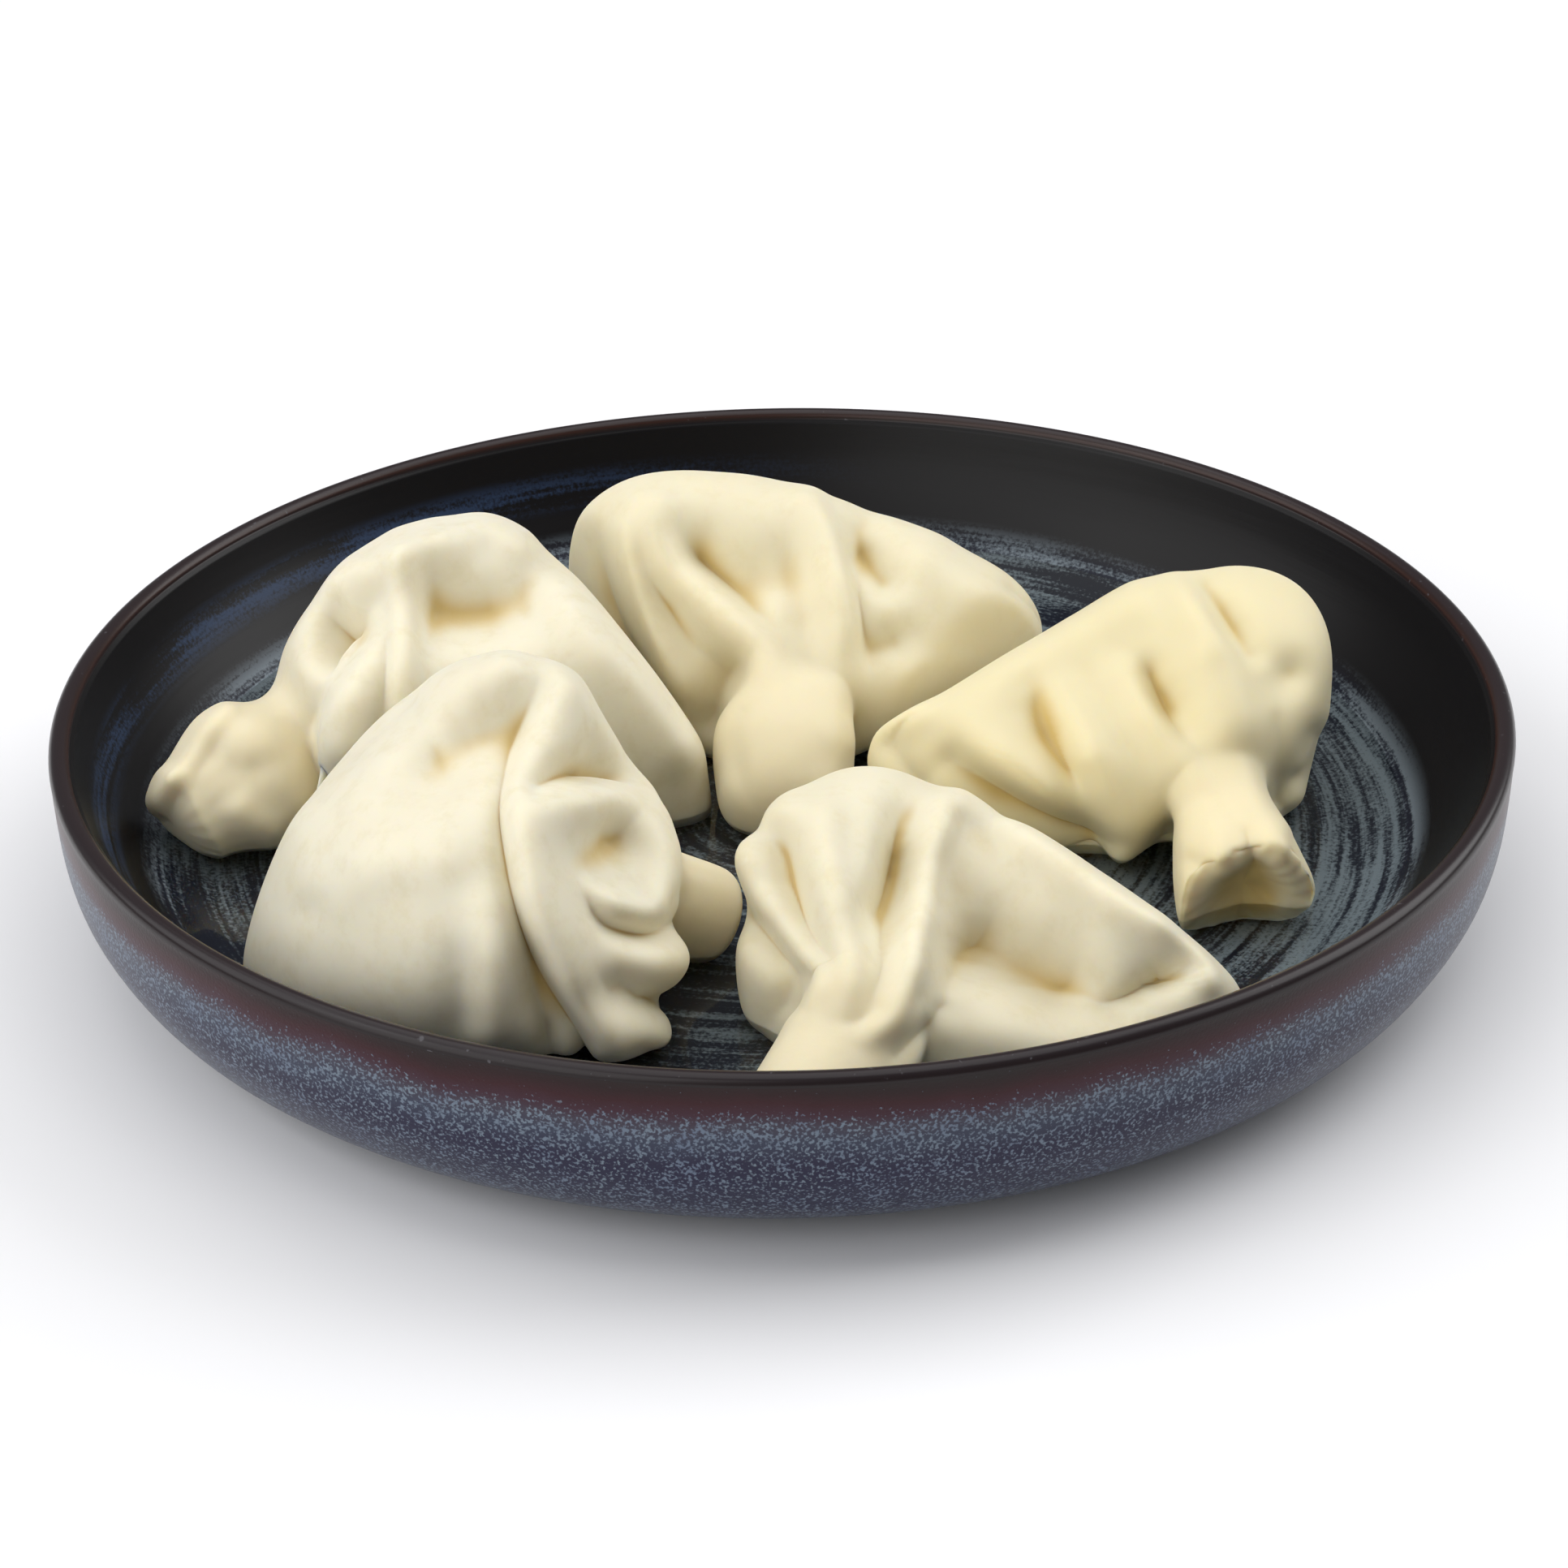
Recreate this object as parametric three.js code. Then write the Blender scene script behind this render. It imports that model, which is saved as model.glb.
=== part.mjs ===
// A bowl of khinkali: five boiled dumplings lying in a glazed stoneware bowl.
// Millimetres, +Z up. The origin is on the table under the middle of the bowl,
// and the front of the bowl faces -Y.

import * as THREE from 'three';

// The bowl
const rimRadius = 125;
const rimHeight = 37;
const lipRise = 0.6;
const innerRimRadius = 121.5;
const floorHeight = 12.5;
const footInnerRadius = 72;
const footHollowHeight = 5;
const footSlope = 2;
const bowlSides = 60;
const outerSteps = 10;
const innerSteps = 7;

// Points (radius, height) where the outer wall swells and the inner wall hollows
const outerWall = [[80, 0], [92, 1], [108.5, 3.2], [116.8, 8], [121.8, 15], [124.2, 23], [125, 37]];
const innerWall = [[121.5, 37], [118, 29], [113.5, 22], [108, 16], [100, 12.5]];

// The dough
const columns = 40;
const bodyRows = 19;
const stemRows = 5;
const restGap = 0.35;
const wallGap = 0.6;
const neighbourGap = 0.3;
const wallSoftness = 1.6;
const floorSoftness = 1.4;
const secondSoftness = 0.4;

// The stem: shallow flutes, and waves round its torn edge (how many, turn, share)
const fluteCount = 5;
const fluteTurn = 0.4;
const fluteDepth = 0.06;
const tearWaves = [[3, 1, 1], [7, 2.1, 0.6]];
const tearStart = 0.55;
const hollowRing = 0.6;
const hollowRingDepth = 0.75;

// Stages on the way from the belly (0) past the neck (1) to the stem's end (2)
const turnStages = [0.8, 1.15];
const freeStages = [0.9, 1.05];
const fluteStages = [0.95, 1.4];

// Folds: how far apart two of them still blend, and how they fade
const calmReach = 7;
const nearness = 1.25;
const foldFade = 0.35;
const foldSteps = 8;
const facingShares = [-0.2, 0.35];

// Folds are drawn as lines on a plane that faces someone who sits in front of the bowl
const eye = new THREE.Vector3(0, -580, 331);
const sightDrop = THREE.MathUtils.degToRad(28.35);
const sight = new THREE.Vector3(0, Math.cos(sightDrop), -Math.sin(sightDrop));
const across = new THREE.Vector3(1, 0, 0);
const rise = new THREE.Vector3(0, Math.sin(sightDrop), Math.cos(sightDrop));

// Each dumpling runs from its belly past its middle to the pinched neck and on to the stem's end.
// reach: from the centre line to the skin, every 30 degrees, from the right as the stem sees it,
// over the top. presses: planes where a neighbour or a drawn skin flattens it, each by a point,
// an azimuth, an elevation and a softness. folds: the push (crest +, crease -), the roundness, a
// line across and up from the middle, and the share of the push left at its two ends.
const dumplings = [
  {
    name: 'khinkali_back_left',
    belly: [-10, 5, 15],
    middle: [-53, 17, 30],
    neck: [-84, 1, 27],
    end: [-101, -13, 21],
    neckRadius: 9.5,
    endRadius: 9.5,
    stemSwell: 4,
    shoulder: 0.5,
    bellyPower: 0.92,
    reach: [30, 31, 30, 29, 30, 31, 30, 26, 21, 18, 22, 29],
    ragged: 2,
    endHollow: -4,
    presses: [[[-22, 20, 20], 28, 0, 1.5], [[-30, 25.5, 44.5], 20, 31, 5]],
    folds: [
      [1.5, 3, [[-23, 21], [-29, 15], [-31, 6], [-29, 0]], 1, 1],
      [-5, 3, [[-19, 16], [-22, 10], [-26, 4]], 0.3, 1],
      [2, 3, [[-20, 6], [-26, -3], [-29, -11]], 1, 1],
      [-1.5, 3, [[-17, 15], [-18, -6]], 1, 1],
      [2, 3, [[-13, 22], [-13, -3]], 1, 1],
      [-4, 3, [[-8, 16], [-2, 15], [4, 18]], 1, 1],
      [-3, 4, [[-5, 12], [-3, 2]], 1, 0.4],
      [2, 3, [[9, 23], [11, 17], [21, -2], [27, -12]], 1, 1],
      [1, 3, [[-20, 23], [0, 28], [7, 26]], 1, 1],
    ],
  },
  {
    name: 'khinkali_back',
    belly: [9, 60, 22],
    middle: [5, 39, 30],
    neck: [1, 11, 28],
    end: [0, -9, 19.5],
    neckRadius: 11.2,
    endRadius: 11.5,
    stemSwell: 1.5,
    shoulder: 0.9,
    bellyPower: 1,
    reach: [44, 31, 25, 25, 32, 44, 50, 38, 23, 19, 21, 28],
    ragged: 1,
    endHollow: -7,
    presses: [[[-22, 20, 20], 208, 0, 1.5], [[31, 19, 20], -50, 0, 1.5]],
    folds: [
      [-1.5, 3, [[-38, 19], [-36, 8], [-27, -13]], 1, 1],
      [1.5, 3, [[-34, 17], [-30, 2], [-22, -14]], 1, 1],
      [-1.5, 3, [[-29, 11], [-18, -6]], 1, 1],
      [2, 3, [[-29, 24], [-27, 17], [-18, 8], [-7, -4], [-5, -9]], 1, 1],
      [-1.5, 3, [[-23, 20], [-20, 14], [-9, 4], [-5, -3]], 1, 0.4],
      [-3.5, 4, [[-15, 18], [-2, 14]], 1, 1],
      [2, 3, [[4, 23], [7, 7], [7, -9]], 1, 1],
      [-2, 3, [[8, 20], [10, 4], [10, -13]], 1, 0.4],
      [-3, 3, [[12, 16], [14, 11]], 1, 1],
      [-1.5, 3, [[11, -13], [16, -9], [25, -7]], 1, 0.2],
      [1.5, 3, [[11, -16], [16, -12], [31, -8]], 1, 1],
      [-3.5, 3, [[-14, -6], [-16, -13]], 1, 1],
    ],
  },
  {
    name: 'khinkali_right',
    belly: [58, 31, 24],
    middle: [62, 6, 29],
    neck: [73, -23, 28],
    end: [75.5, -46.5, 20.5],
    neckRadius: 8.2,
    endRadius: 12.2,
    stemSwell: 0,
    shoulder: 0.85,
    bellyPower: 1,
    reach: [34, 36, 26, 21, 19, 25, 49, 38, 22, 18, 24, 33],
    ragged: 3,
    endHollow: 4,
    presses: [[[33, 16.5, 20], 130, 0, 1.5], [[53, 14, 43], 141, 49, 3]],
    folds: [
      [7, 3, [[-42, 2], [-38, -1]], 1, 1],
      [2.5, 3, [[-34, -3], [-20, -13], [-7, -19]], 0.3, 1],
      [-2, 3, [[-31, -8], [-18, -18], [-5, -21]], 0.3, 1],
      [-4, 3, [[-17, 2], [-12, -8], [-7, -17]], 0.2, 1],
      [3, 3, [[-13, 4], [-8, -8], [-2, -28]], 0.4, 1],
      [1.5, 3, [[-6, 2], [0, -14]], 1, 1],
      [2, 3, [[0, 6], [2, 2], [11, -11]], 0.5, 1],
      [-3.5, 3, [[4, 5], [6, 0], [14, -11]], 0.4, 1],
      [2, 3, [[11, -13], [6, -15], [-2, -26]], 1, 1],
      [-3, 3, [[14, -15], [8, -18], [0, -28]], 0.3, 1],
      [2, 3, [[7, 22], [17, 9], [23, -3], [23, -10]], 0.6, 0.6],
      [-2, 3, [[13, 21], [19, 10]], 1, 0.2],
      [-2, 3, [[25, -6], [25, -16]], 1, 1],
    ],
  },
  {
    name: 'khinkali_front_left',
    belly: [-88, -58, 15],
    middle: [-48, -55, 34],
    neck: [-22, -50, 25],
    end: [-13, -46, 18],
    neckRadius: 8.5,
    endRadius: 9,
    stemSwell: 0,
    shoulder: 0.4,
    bellyPower: 1.4,
    reach: [33, 33, 32, 30, 29, 32, 37, 34, 24, 21, 25, 32],
    ragged: 2,
    endHollow: 1.5,
    presses: [[[-10, -60, 20], -8, 0, 2]],
    folds: [
      [3, 3, [[6, 33], [10, 28], [6, 15], [8, -2], [14, -18], [19, -25]], 1, 1],
      [-1.5, 3, [[5, 20], [3, 12], [3, 0], [9, -19]], 0.5, 0.6],
      [-5, 5, [[0, 26], [2, 21], [-2, 16]], 1, 1],
      [-3, 4, [[-8, 20], [-12, 16]], 1, 1],
      [-5, 3, [[10, 13], [26, 12]], 0.3, 0.6],
      [2, 3, [[12, 9], [28, 9]], 1, 1],
      [-2, 3, [[14, 17], [17, 15]], 1, 1],
      [-5, 3, [[20, 6], [19, 2], [23, -3]], 1, 1],
      [2, 3, [[27, 7], [29, 2], [29, -4]], 1, 1],
      [2, 3, [[13, 6], [16, -1], [25, -10], [30, -10]], 1, 1],
      [2.5, 3, [[20, -12], [27, -15], [33, -13]], 1, 1],
      [-5.5, 3, [[23, -21], [30, -23]], 0.4, 1],
      [2.5, 3, [[19, -25], [28, -28]], 1, 1],
      [-2, 3, [[-5, -15], [-3, -22]], 1, 1],
      [1.5, 3, [[1, -9], [2, -27]], 1, 1],
      [-2, 3, [[5, -15], [6, -29]], 1, 1],
    ],
  },
  {
    name: 'khinkali_front',
    belly: [37, -33, 20],
    middle: [30, -58, 26],
    neck: [12.5, -86, 23],
    end: [3, -103, 16],
    neckRadius: 10.5,
    endRadius: 10.5,
    stemSwell: 0,
    shoulder: 0.6,
    bellyPower: 1,
    reach: [46, 25, 16, 14, 22, 33, 35, 32, 20, 15, 22, 42],
    ragged: 1,
    endHollow: 1.5,
    presses: [[[-4, -46, 20], 140, 0, 2], [[43, -50.5, 40], 30, 45, 5]],
    folds: [
      [2, 3, [[-35, 16], [-36, 10], [-28, -5], [-24, -10]], 1, 1],
      [-2, 3, [[-38, 3], [-34, -1], [-27, -13]], 0.4, 1],
      [-3, 3, [[-31, 16], [-29, 8], [-24, -6]], 0.3, 1],
      [2, 3, [[-24, 19], [-23, 8], [-19, -12]], 1, 1],
      [-3.5, 3, [[-13, 18], [-14, 11], [-16, -1]], 0.3, 1],
      [-1.5, 3, [[-16, -3], [-16, -13], [-19, -18]], 1, 1],
      [2.5, 3, [[-6, 19], [-7, 9], [-10, -13]], 1, 1],
      [-3, 3, [[0, 12], [-3, -2], [-7, -16]], 0.5, 0.8],
      [-4, 5, [[4, 6], [10, -1], [14, -8]], 1, 1],
      [2, 4, [[0, -12], [8, -17], [15, -16]], 1, 1],
      [1.5, 3, [[8, 16], [28, 0]], 1, 1],
      [1.5, 3, [[30, -2], [37, -7], [39, -12]], 1, 1],
      [-3.5, 3, [[32, -10], [35, -8]], 1, 1],
    ],
  },
];

const glaze = new THREE.MeshStandardMaterial({ color: 0x1c2130, roughness: 0.22, metalness: 0 });
const dough = new THREE.MeshStandardMaterial({ color: 0xe9e0c4, roughness: 0.42, metalness: 0 });

const { lerp, smoothstep, degToRad } = THREE.MathUtils;

// A value that stays above its limit and rounds off as it comes near
function keptAbove(value, limit, softness) {
  const over = (value - limit) / softness;
  return limit + softness * (Math.max(over, 0) + Math.log1p(Math.exp(-Math.abs(over))));
}

function wallCurve(points) {
  return new THREE.SplineCurve(points.map(([radius, height]) => new THREE.Vector2(radius, height)));
}

// The inside radius of the bowl at a height
function wallRadiusAt(height) {
  for (let i = innerWall.length - 1; i > 0; i -= 1) {
    const [lowRadius, low] = innerWall[i];
    const [highRadius, high] = innerWall[i - 1];
    if (height < high) {
      return lerp(lowRadius, highRadius, Math.max(0, (height - low) / (high - low)));
    }
  }
  return innerRimRadius;
}

function makeBowl() {
  const hollow = [
    new THREE.Vector2(0, footHollowHeight),
    new THREE.Vector2(footInnerRadius - footSlope, footHollowHeight),
    new THREE.Vector2(footInnerRadius, 0),
  ];
  const outside = wallCurve(outerWall).getPoints(outerSteps);
  const crown = new THREE.Vector2((rimRadius + innerRimRadius) / 2, rimHeight + lipRise);
  const inside = wallCurve(innerWall).getPoints(innerSteps);
  const middle = new THREE.Vector2(0, floorHeight);
  const profile = [...hollow, ...outside, crown, ...inside, middle];
  const geometry = new THREE.LatheGeometry(profile, bowlSides);
  geometry.rotateX(Math.PI / 2);
  return geometry;
}

// The reach at an angle, as a smooth closed curve through the twelve values
function reachAt(reach, angle) {
  const place = (angle / (2 * Math.PI)) * reach.length;
  const index = Math.floor(place);
  const share = place - index;
  const at = (i) => reach[(i + reach.length) % reach.length];
  const [before, from, to, after] = [at(index - 1), at(index), at(index + 1), at(index + 2)];
  const slope = to - before;
  const bend = 2 * before - 5 * from + 4 * to - after;
  const twist = -before + 3 * from - 3 * to + after;
  return 0.5 * (2 * from + share * (slope + share * (bend + share * twist)));
}

// One point of the skin without folds: stage runs from the belly (0) past the neck (1) to the end (2)
function skinPoint(shape, stage, angle) {
  const turn = Math.PI * Math.min(stage, 1);
  const along = -Math.cos(turn);
  const past = Math.max(0, stage - 1);
  const centre = new THREE.Vector3()
    .addScaledVector(shape.belly, (along * (along - 1)) / 2)
    .addScaledVector(shape.middle, 1 - along * along)
    .addScaledVector(shape.neck, (along * (along + 1)) / 2);
  if (past > 0) {
    centre.lerpVectors(shape.neck, shape.end, past);
  }
  const direction = shape.bodyDirection.clone().lerp(shape.stemDirection, smoothstep(stage, ...turnStages));
  direction.normalize();
  const up = new THREE.Vector3(0, 0, 1).addScaledVector(direction, -direction.z).normalize();
  const side = up.clone().cross(direction);
  const reach = reachAt(shape.reach, angle);
  let radius = reach * Math.sin(turn) ** shape.bellyPower;
  if (stage > 0.5) {
    radius = lerp(shape.neckRadius, reach, Math.max(0, Math.sin(turn)) ** shape.shoulder);
  }
  if (past > 0) {
    const swell = shape.stemSwell * Math.sin(Math.PI * past) ** 1.5;
    radius = lerp(shape.neckRadius, shape.endRadius, smoothstep(past, 0, 1)) + swell;
  }
  const flute = fluteDepth * Math.cos(fluteCount * angle + fluteTurn);
  radius *= 1 + flute * smoothstep(stage, ...fluteStages);
  const wave = ([count, turned, share]) => share * Math.sin(count * angle + turned);
  const tear = tearWaves.map(wave).reduce((sum, value) => sum + value, 0);
  const torn = (shape.ragged / 2) * tear * smoothstep(past, tearStart, 1);
  return centre
    .addScaledVector(side, radius * Math.cos(angle))
    .addScaledVector(up, radius * Math.sin(angle))
    .addScaledVector(shape.stemDirection, torn);
}

// Flattens a point against the neighbours, the bowl's wall and its floor. The stem isn't pressed
function settle(point, stage, shape, softness) {
  const pressed = 1 - smoothstep(stage, ...freeStages);
  for (const press of shape.presses) {
    const inside = -point.clone().sub(press.point).dot(press.normal);
    const kept = keptAbove(inside, neighbourGap, press.softness * softness);
    point.addScaledVector(press.normal, (inside - kept) * pressed);
  }
  const radius = Math.hypot(point.x, point.y);
  const room = wallRadiusAt(point.z) - wallGap;
  const keptRadius = room - keptAbove(room - radius, 0, wallSoftness * softness);
  point.x *= keptRadius / radius;
  point.y *= keptRadius / radius;
  point.z = keptAbove(point.z, floorHeight + restGap, floorSoftness * softness);
}

// Where the eye sees a point on the dumpling's plane: millimetres across and up from its middle
function planePlace(point, shape) {
  const ray = point.clone().sub(eye);
  const depth = shape.middle.clone().sub(eye).dot(sight) / ray.dot(sight);
  const seen = eye.clone().addScaledVector(ray, depth).sub(shape.middle);
  return new THREE.Vector2(seen.dot(across), seen.dot(rise));
}

// The push of one fold where the line comes nearest, and how far away that is
function foldNear(fold, place) {
  let best = { distance: Infinity, push: 0 };
  const last = fold.line.length - 1;
  for (let i = 0; i < last; i += 1) {
    const from = fold.line[i];
    const step = fold.line[i + 1].clone().sub(from);
    const share = THREE.MathUtils.clamp(place.clone().sub(from).dot(step) / step.lengthSq(), 0, 1);
    const distance = place.distanceTo(from.clone().addScaledVector(step, share));
    if (distance < best.distance) {
      const along = (i + share) / last;
      const start = lerp(fold.startShare, 1, Math.min(1, along / foldFade));
      const finish = lerp(fold.endShare, 1, Math.min(1, (1 - along) / foldFade));
      best = { distance, push: fold.push * Math.min(start, finish) };
    }
  }
  return best;
}

// Blends the pushes of all folds by how near they are
function foldPush(place, shape) {
  let pushes = 0;
  let weights = calmReach ** (-2 * nearness);
  for (const fold of shape.folds) {
    const near = foldNear(fold, place);
    const weight = (near.distance ** 2 + fold.roundness ** 2) ** -nearness;
    pushes += weight * near.push;
    weights += weight;
  }
  return pushes / weights;
}

function readShape(dumpling) {
  const vector = (numbers) => new THREE.Vector3(...numbers);
  const shape = { ...dumpling };
  for (const key of ['belly', 'middle', 'neck', 'end']) {
    shape[key] = vector(dumpling[key]);
  }
  shape.bodyDirection = shape.neck.clone().sub(shape.belly).normalize();
  shape.stemDirection = shape.end.clone().sub(shape.neck).normalize();
  shape.presses = dumpling.presses.map(([point, azimuth, elevation, softness]) => {
    const polar = degToRad(90 - elevation);
    const normal = new THREE.Vector3(
      Math.sin(polar) * Math.cos(degToRad(azimuth)),
      Math.sin(polar) * Math.sin(degToRad(azimuth)),
      Math.cos(polar),
    );
    return { point: vector(point), normal, softness };
  });
  shape.folds = dumpling.folds.map(([push, roundness, points, startShare, endShare]) => {
    const corners = points.map(([x, y]) => new THREE.Vector2(x, y));
    const line = corners.length > 2 ? new THREE.SplineCurve(corners).getPoints(foldSteps) : corners;
    return { push, roundness, line, startShare, endShare };
  });
  return shape;
}

// The rings of the skin, closed by one point at the belly and one in the stem's end.
// Each patch between them is split along its shorter diagonal, so that ridges stay clean
function skinGeometry(points) {
  const rings = (points.length - 2) / columns;
  const at = (ring, column) => 1 + ring * columns + (column % columns);
  const triangles = [];
  for (let column = 0; column < columns; column += 1) {
    triangles.push(0, at(0, column + 1), at(0, column));
    for (let ring = 0; ring < rings - 1; ring += 1) {
      const [a, b] = [at(ring, column), at(ring, column + 1)];
      const [c, d] = [at(ring + 1, column + 1), at(ring + 1, column)];
      if (points[a].distanceTo(points[c]) < points[b].distanceTo(points[d])) {
        triangles.push(a, b, c, a, c, d);
      } else {
        triangles.push(a, b, d, b, c, d);
      }
    }
    triangles.push(at(rings - 1, column), at(rings - 1, column + 1), points.length - 1);
  }
  const geometry = new THREE.BufferGeometry().setFromPoints(points);
  geometry.setIndex(triangles);
  geometry.computeVertexNormals();
  return geometry;
}

function makeDumpling(dumpling) {
  const shape = readShape(dumpling);
  const points = [shape.belly.clone()];
  const stages = [0];
  for (let row = 1; row <= bodyRows + stemRows; row += 1) {
    const stage = row <= bodyRows ? row / bodyRows : 1 + (row - bodyRows) / stemRows;
    for (let column = 0; column < columns; column += 1) {
      points.push(skinPoint(shape, stage, (2 * Math.PI * column) / columns));
      stages.push(stage);
    }
  }
  const rim = points.slice(-columns);
  const endCentre = rim.reduce((sum, point) => sum.add(point), new THREE.Vector3()).divideScalar(columns);
  for (const point of rim) {
    const inner = endCentre.clone().lerp(point, hollowRing);
    points.push(inner.addScaledVector(shape.stemDirection, -hollowRingDepth * shape.endHollow));
  }
  points.push(endCentre.addScaledVector(shape.stemDirection, -shape.endHollow));
  const stageAt = (i) => (i < stages.length ? stages[i] : 2);
  points.forEach((point, i) => settle(point, stageAt(i), shape, 1));

  const normals = skinGeometry(points).getAttribute('normal');
  const normal = new THREE.Vector3();
  points.forEach((point, i) => {
    normal.fromBufferAttribute(normals, i);
    const facing = normal.dot(eye.clone().sub(point).normalize());
    const push = foldPush(planePlace(point, shape), shape) * smoothstep(facing, ...facingShares);
    point.addScaledVector(normal, push);
    settle(point, stageAt(i), shape, secondSoftness);
  });
  return skinGeometry(points);
}

const bowlOfKhinkali = new THREE.Group();

const bowl = new THREE.Mesh(makeBowl(), glaze);
bowl.name = 'bowl';
bowlOfKhinkali.add(bowl);

for (const dumpling of dumplings) {
  const mesh = new THREE.Mesh(makeDumpling(dumpling), dough.clone());
  mesh.name = dumpling.name;
  bowlOfKhinkali.add(mesh);
}

export default bowlOfKhinkali;
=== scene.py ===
# A bowl of khinkali: five boiled dumplings lying in a stoneware bowl with a dark reactive glaze.
# Shapes are worked out in millimetres and become metres where a mesh takes them.
import math

import bpy
import numpy as np
from mathutils import Matrix, Vector


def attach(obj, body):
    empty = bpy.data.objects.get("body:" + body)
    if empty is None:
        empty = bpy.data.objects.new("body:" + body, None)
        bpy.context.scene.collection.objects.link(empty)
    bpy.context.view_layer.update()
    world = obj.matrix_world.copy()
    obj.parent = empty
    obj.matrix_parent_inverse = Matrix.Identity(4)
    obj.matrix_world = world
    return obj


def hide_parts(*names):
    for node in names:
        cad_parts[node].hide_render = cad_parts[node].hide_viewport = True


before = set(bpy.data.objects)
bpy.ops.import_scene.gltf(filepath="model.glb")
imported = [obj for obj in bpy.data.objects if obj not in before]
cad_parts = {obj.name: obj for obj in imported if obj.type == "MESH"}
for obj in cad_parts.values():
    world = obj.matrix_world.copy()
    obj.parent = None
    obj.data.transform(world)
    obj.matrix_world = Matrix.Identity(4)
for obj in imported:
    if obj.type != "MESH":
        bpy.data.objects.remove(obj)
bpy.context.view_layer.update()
bpy.ops.object.select_all(action="DESELECT")
mm = 0.001
print("frame loaded")


# Small helpers for materials and shapes

def srgb(code):
    values = [int(code[i:i + 2], 16) / 255 for i in (0, 2, 4)]
    linear = [v / 12.92 if v <= 0.04045 else ((v + 0.055) / 1.055) ** 2.4 for v in values]
    return (*linear, 1)


def addNode(tree, kind, settings=None, inputs=None):
    # adds one node and returns its outputs: settings are its own properties, and an input is a number, a
    # colour or another node's output
    node = tree.nodes.new("ShaderNode" + kind)
    for name, value in (settings or {}).items():
        if name == "ramp":
            stops = node.color_ramp.elements
            while len(stops) < len(value):
                stops.new(0.5)
            for stop, (place, colour) in zip(stops, value):
                stop.position = place
                stop.color = srgb(colour) if isinstance(colour, str) else (colour, colour, colour, 1)
        else:
            setattr(node, name, value)
    for name, value in (inputs or {}).items():
        if isinstance(value, bpy.types.NodeSocket):
            tree.links.new(value, node.inputs[name])
        else:
            node.inputs[name].default_value = value
    return node.outputs


def cells(size):
    # the scale of a pattern whose cells are so many millimetres wide
    return 1 / (size * mm)


def newMaterial(name):
    material = bpy.data.materials.new(name)
    material.use_nodes = True
    tree = material.node_tree
    return material, tree, tree.nodes["Principled BSDF"]


def smoothStep(low, high, values):
    share = np.clip((values - low) / (high - low), 0, 1)
    return share * share * (3 - 2 * share)


def keptAbove(values, limit, softness):
    # stays above the limit and rounds off near it
    return limit + softness * np.logaddexp(0, (values - limit) / softness)


def smoothLine(points, steps):
    # a smooth line through all the points
    points = np.array(points, float)
    if len(points) < 3:
        return points
    line = []
    for i in range(len(points) - 1):
        before, start = points[max(i - 1, 0)], points[i]
        finish, after = points[i + 1], points[min(i + 2, len(points) - 1)]
        for share in np.arange(steps) / steps:
            bend = 2 * before - 5 * start + 4 * finish - after
            twist = -before + 3 * start - 3 * finish + after
            line.append(start + share * (finish - before + share * (bend + share * twist)) / 2)
    return np.array(line + [points[-1]])


# The photo's camera. It takes the picture, and it says where a point picked in the photo lies

camera = {
    "place": (0, -0.57968, 0.33106),
    "aim": (0.00035, 0.8800, -0.4749),
    "roll": -0.887,
    "lens": 86.4,
    "sensor": 36,
    "photoSize": 1932,
    "clipStart": 0.01,
}


def cameraTurn():
    ahead = Vector(camera["aim"]).normalized()
    right = ahead.cross(Vector((0, 0, 1))).normalized()
    turned = Matrix((right, right.cross(ahead), -ahead)).transposed().to_4x4()
    return turned @ Matrix.Rotation(math.radians(camera["roll"]), 4, "Z")


def pickedRays(points):
    # the ways from the camera through points of the photo, in pixels from its top left corner
    focal = camera["lens"] / camera["sensor"] * camera["photoSize"]
    middle = camera["photoSize"] / 2
    ways = [(x - middle, middle - y, -focal) for x, y in points]
    return np.array(ways) @ np.array(cameraTurn().to_3x3()).T


# The bowl: thrown stoneware, radii and heights in millimetres

bowl = {
    "rimRadius": 125,
    "innerRimRadius": 121.5,
    "rimHeight": 37,
    "lipRise": 0.6,
    "lipDepth": 1.6,
    "lipMargin": 0.1,
    "floorHeight": 12.5,
    "outerWall": [(80, 0), (92, 1), (108.5, 3.2), (116.8, 8), (121.8, 15), (124.2, 23), (125, 37)],
    "innerWall": [(121.5, 37), (118, 29), (113.5, 22), (108, 16), (100, 12.5)],
    "floorRadii": (90, 75, 60, 45, 30, 15, 2),
    "foot": [(2, 5), (40, 5), (66, 5), (69.5, 4.6), (71, 3), (71.4, 0.8), (72.2, 0), (76, 0)],
    "bareRadii": (71, 83),      # the foot ring has no glaze
    "bareHeight": 0.9,
    "floorMargin": 0.1,
    "floorTilt": 0.05,
    "sides": 288,
    "wallSteps": 14,
    "lipSteps": 12,
}
lipTop = bowl["rimHeight"] + bowl["lipRise"]
lipBase = lipTop - bowl["lipDepth"]


def bowlProfile():
    middle = (bowl["rimRadius"] + bowl["innerRimRadius"]) / 2
    halfWidth = (bowl["rimRadius"] - bowl["innerRimRadius"]) / 2
    angles = np.linspace(0, math.pi, bowl["lipSteps"] + 1)
    lip = [(middle + halfWidth * math.cos(a), lipBase + bowl["lipDepth"] * math.sin(a)) for a in angles]
    walls = [smoothLine(bowl[wall], bowl["wallSteps"]) for wall in ("outerWall", "innerWall")]
    wallTop = lipBase - bowl["lipMargin"]
    outside, inside = [[point for point in wall if point[1] < wallTop] for wall in walls]
    floor = [(radius, bowl["floorHeight"]) for radius in bowl["floorRadii"]]
    return bowl["foot"] + outside + lip + inside + floor


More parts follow.
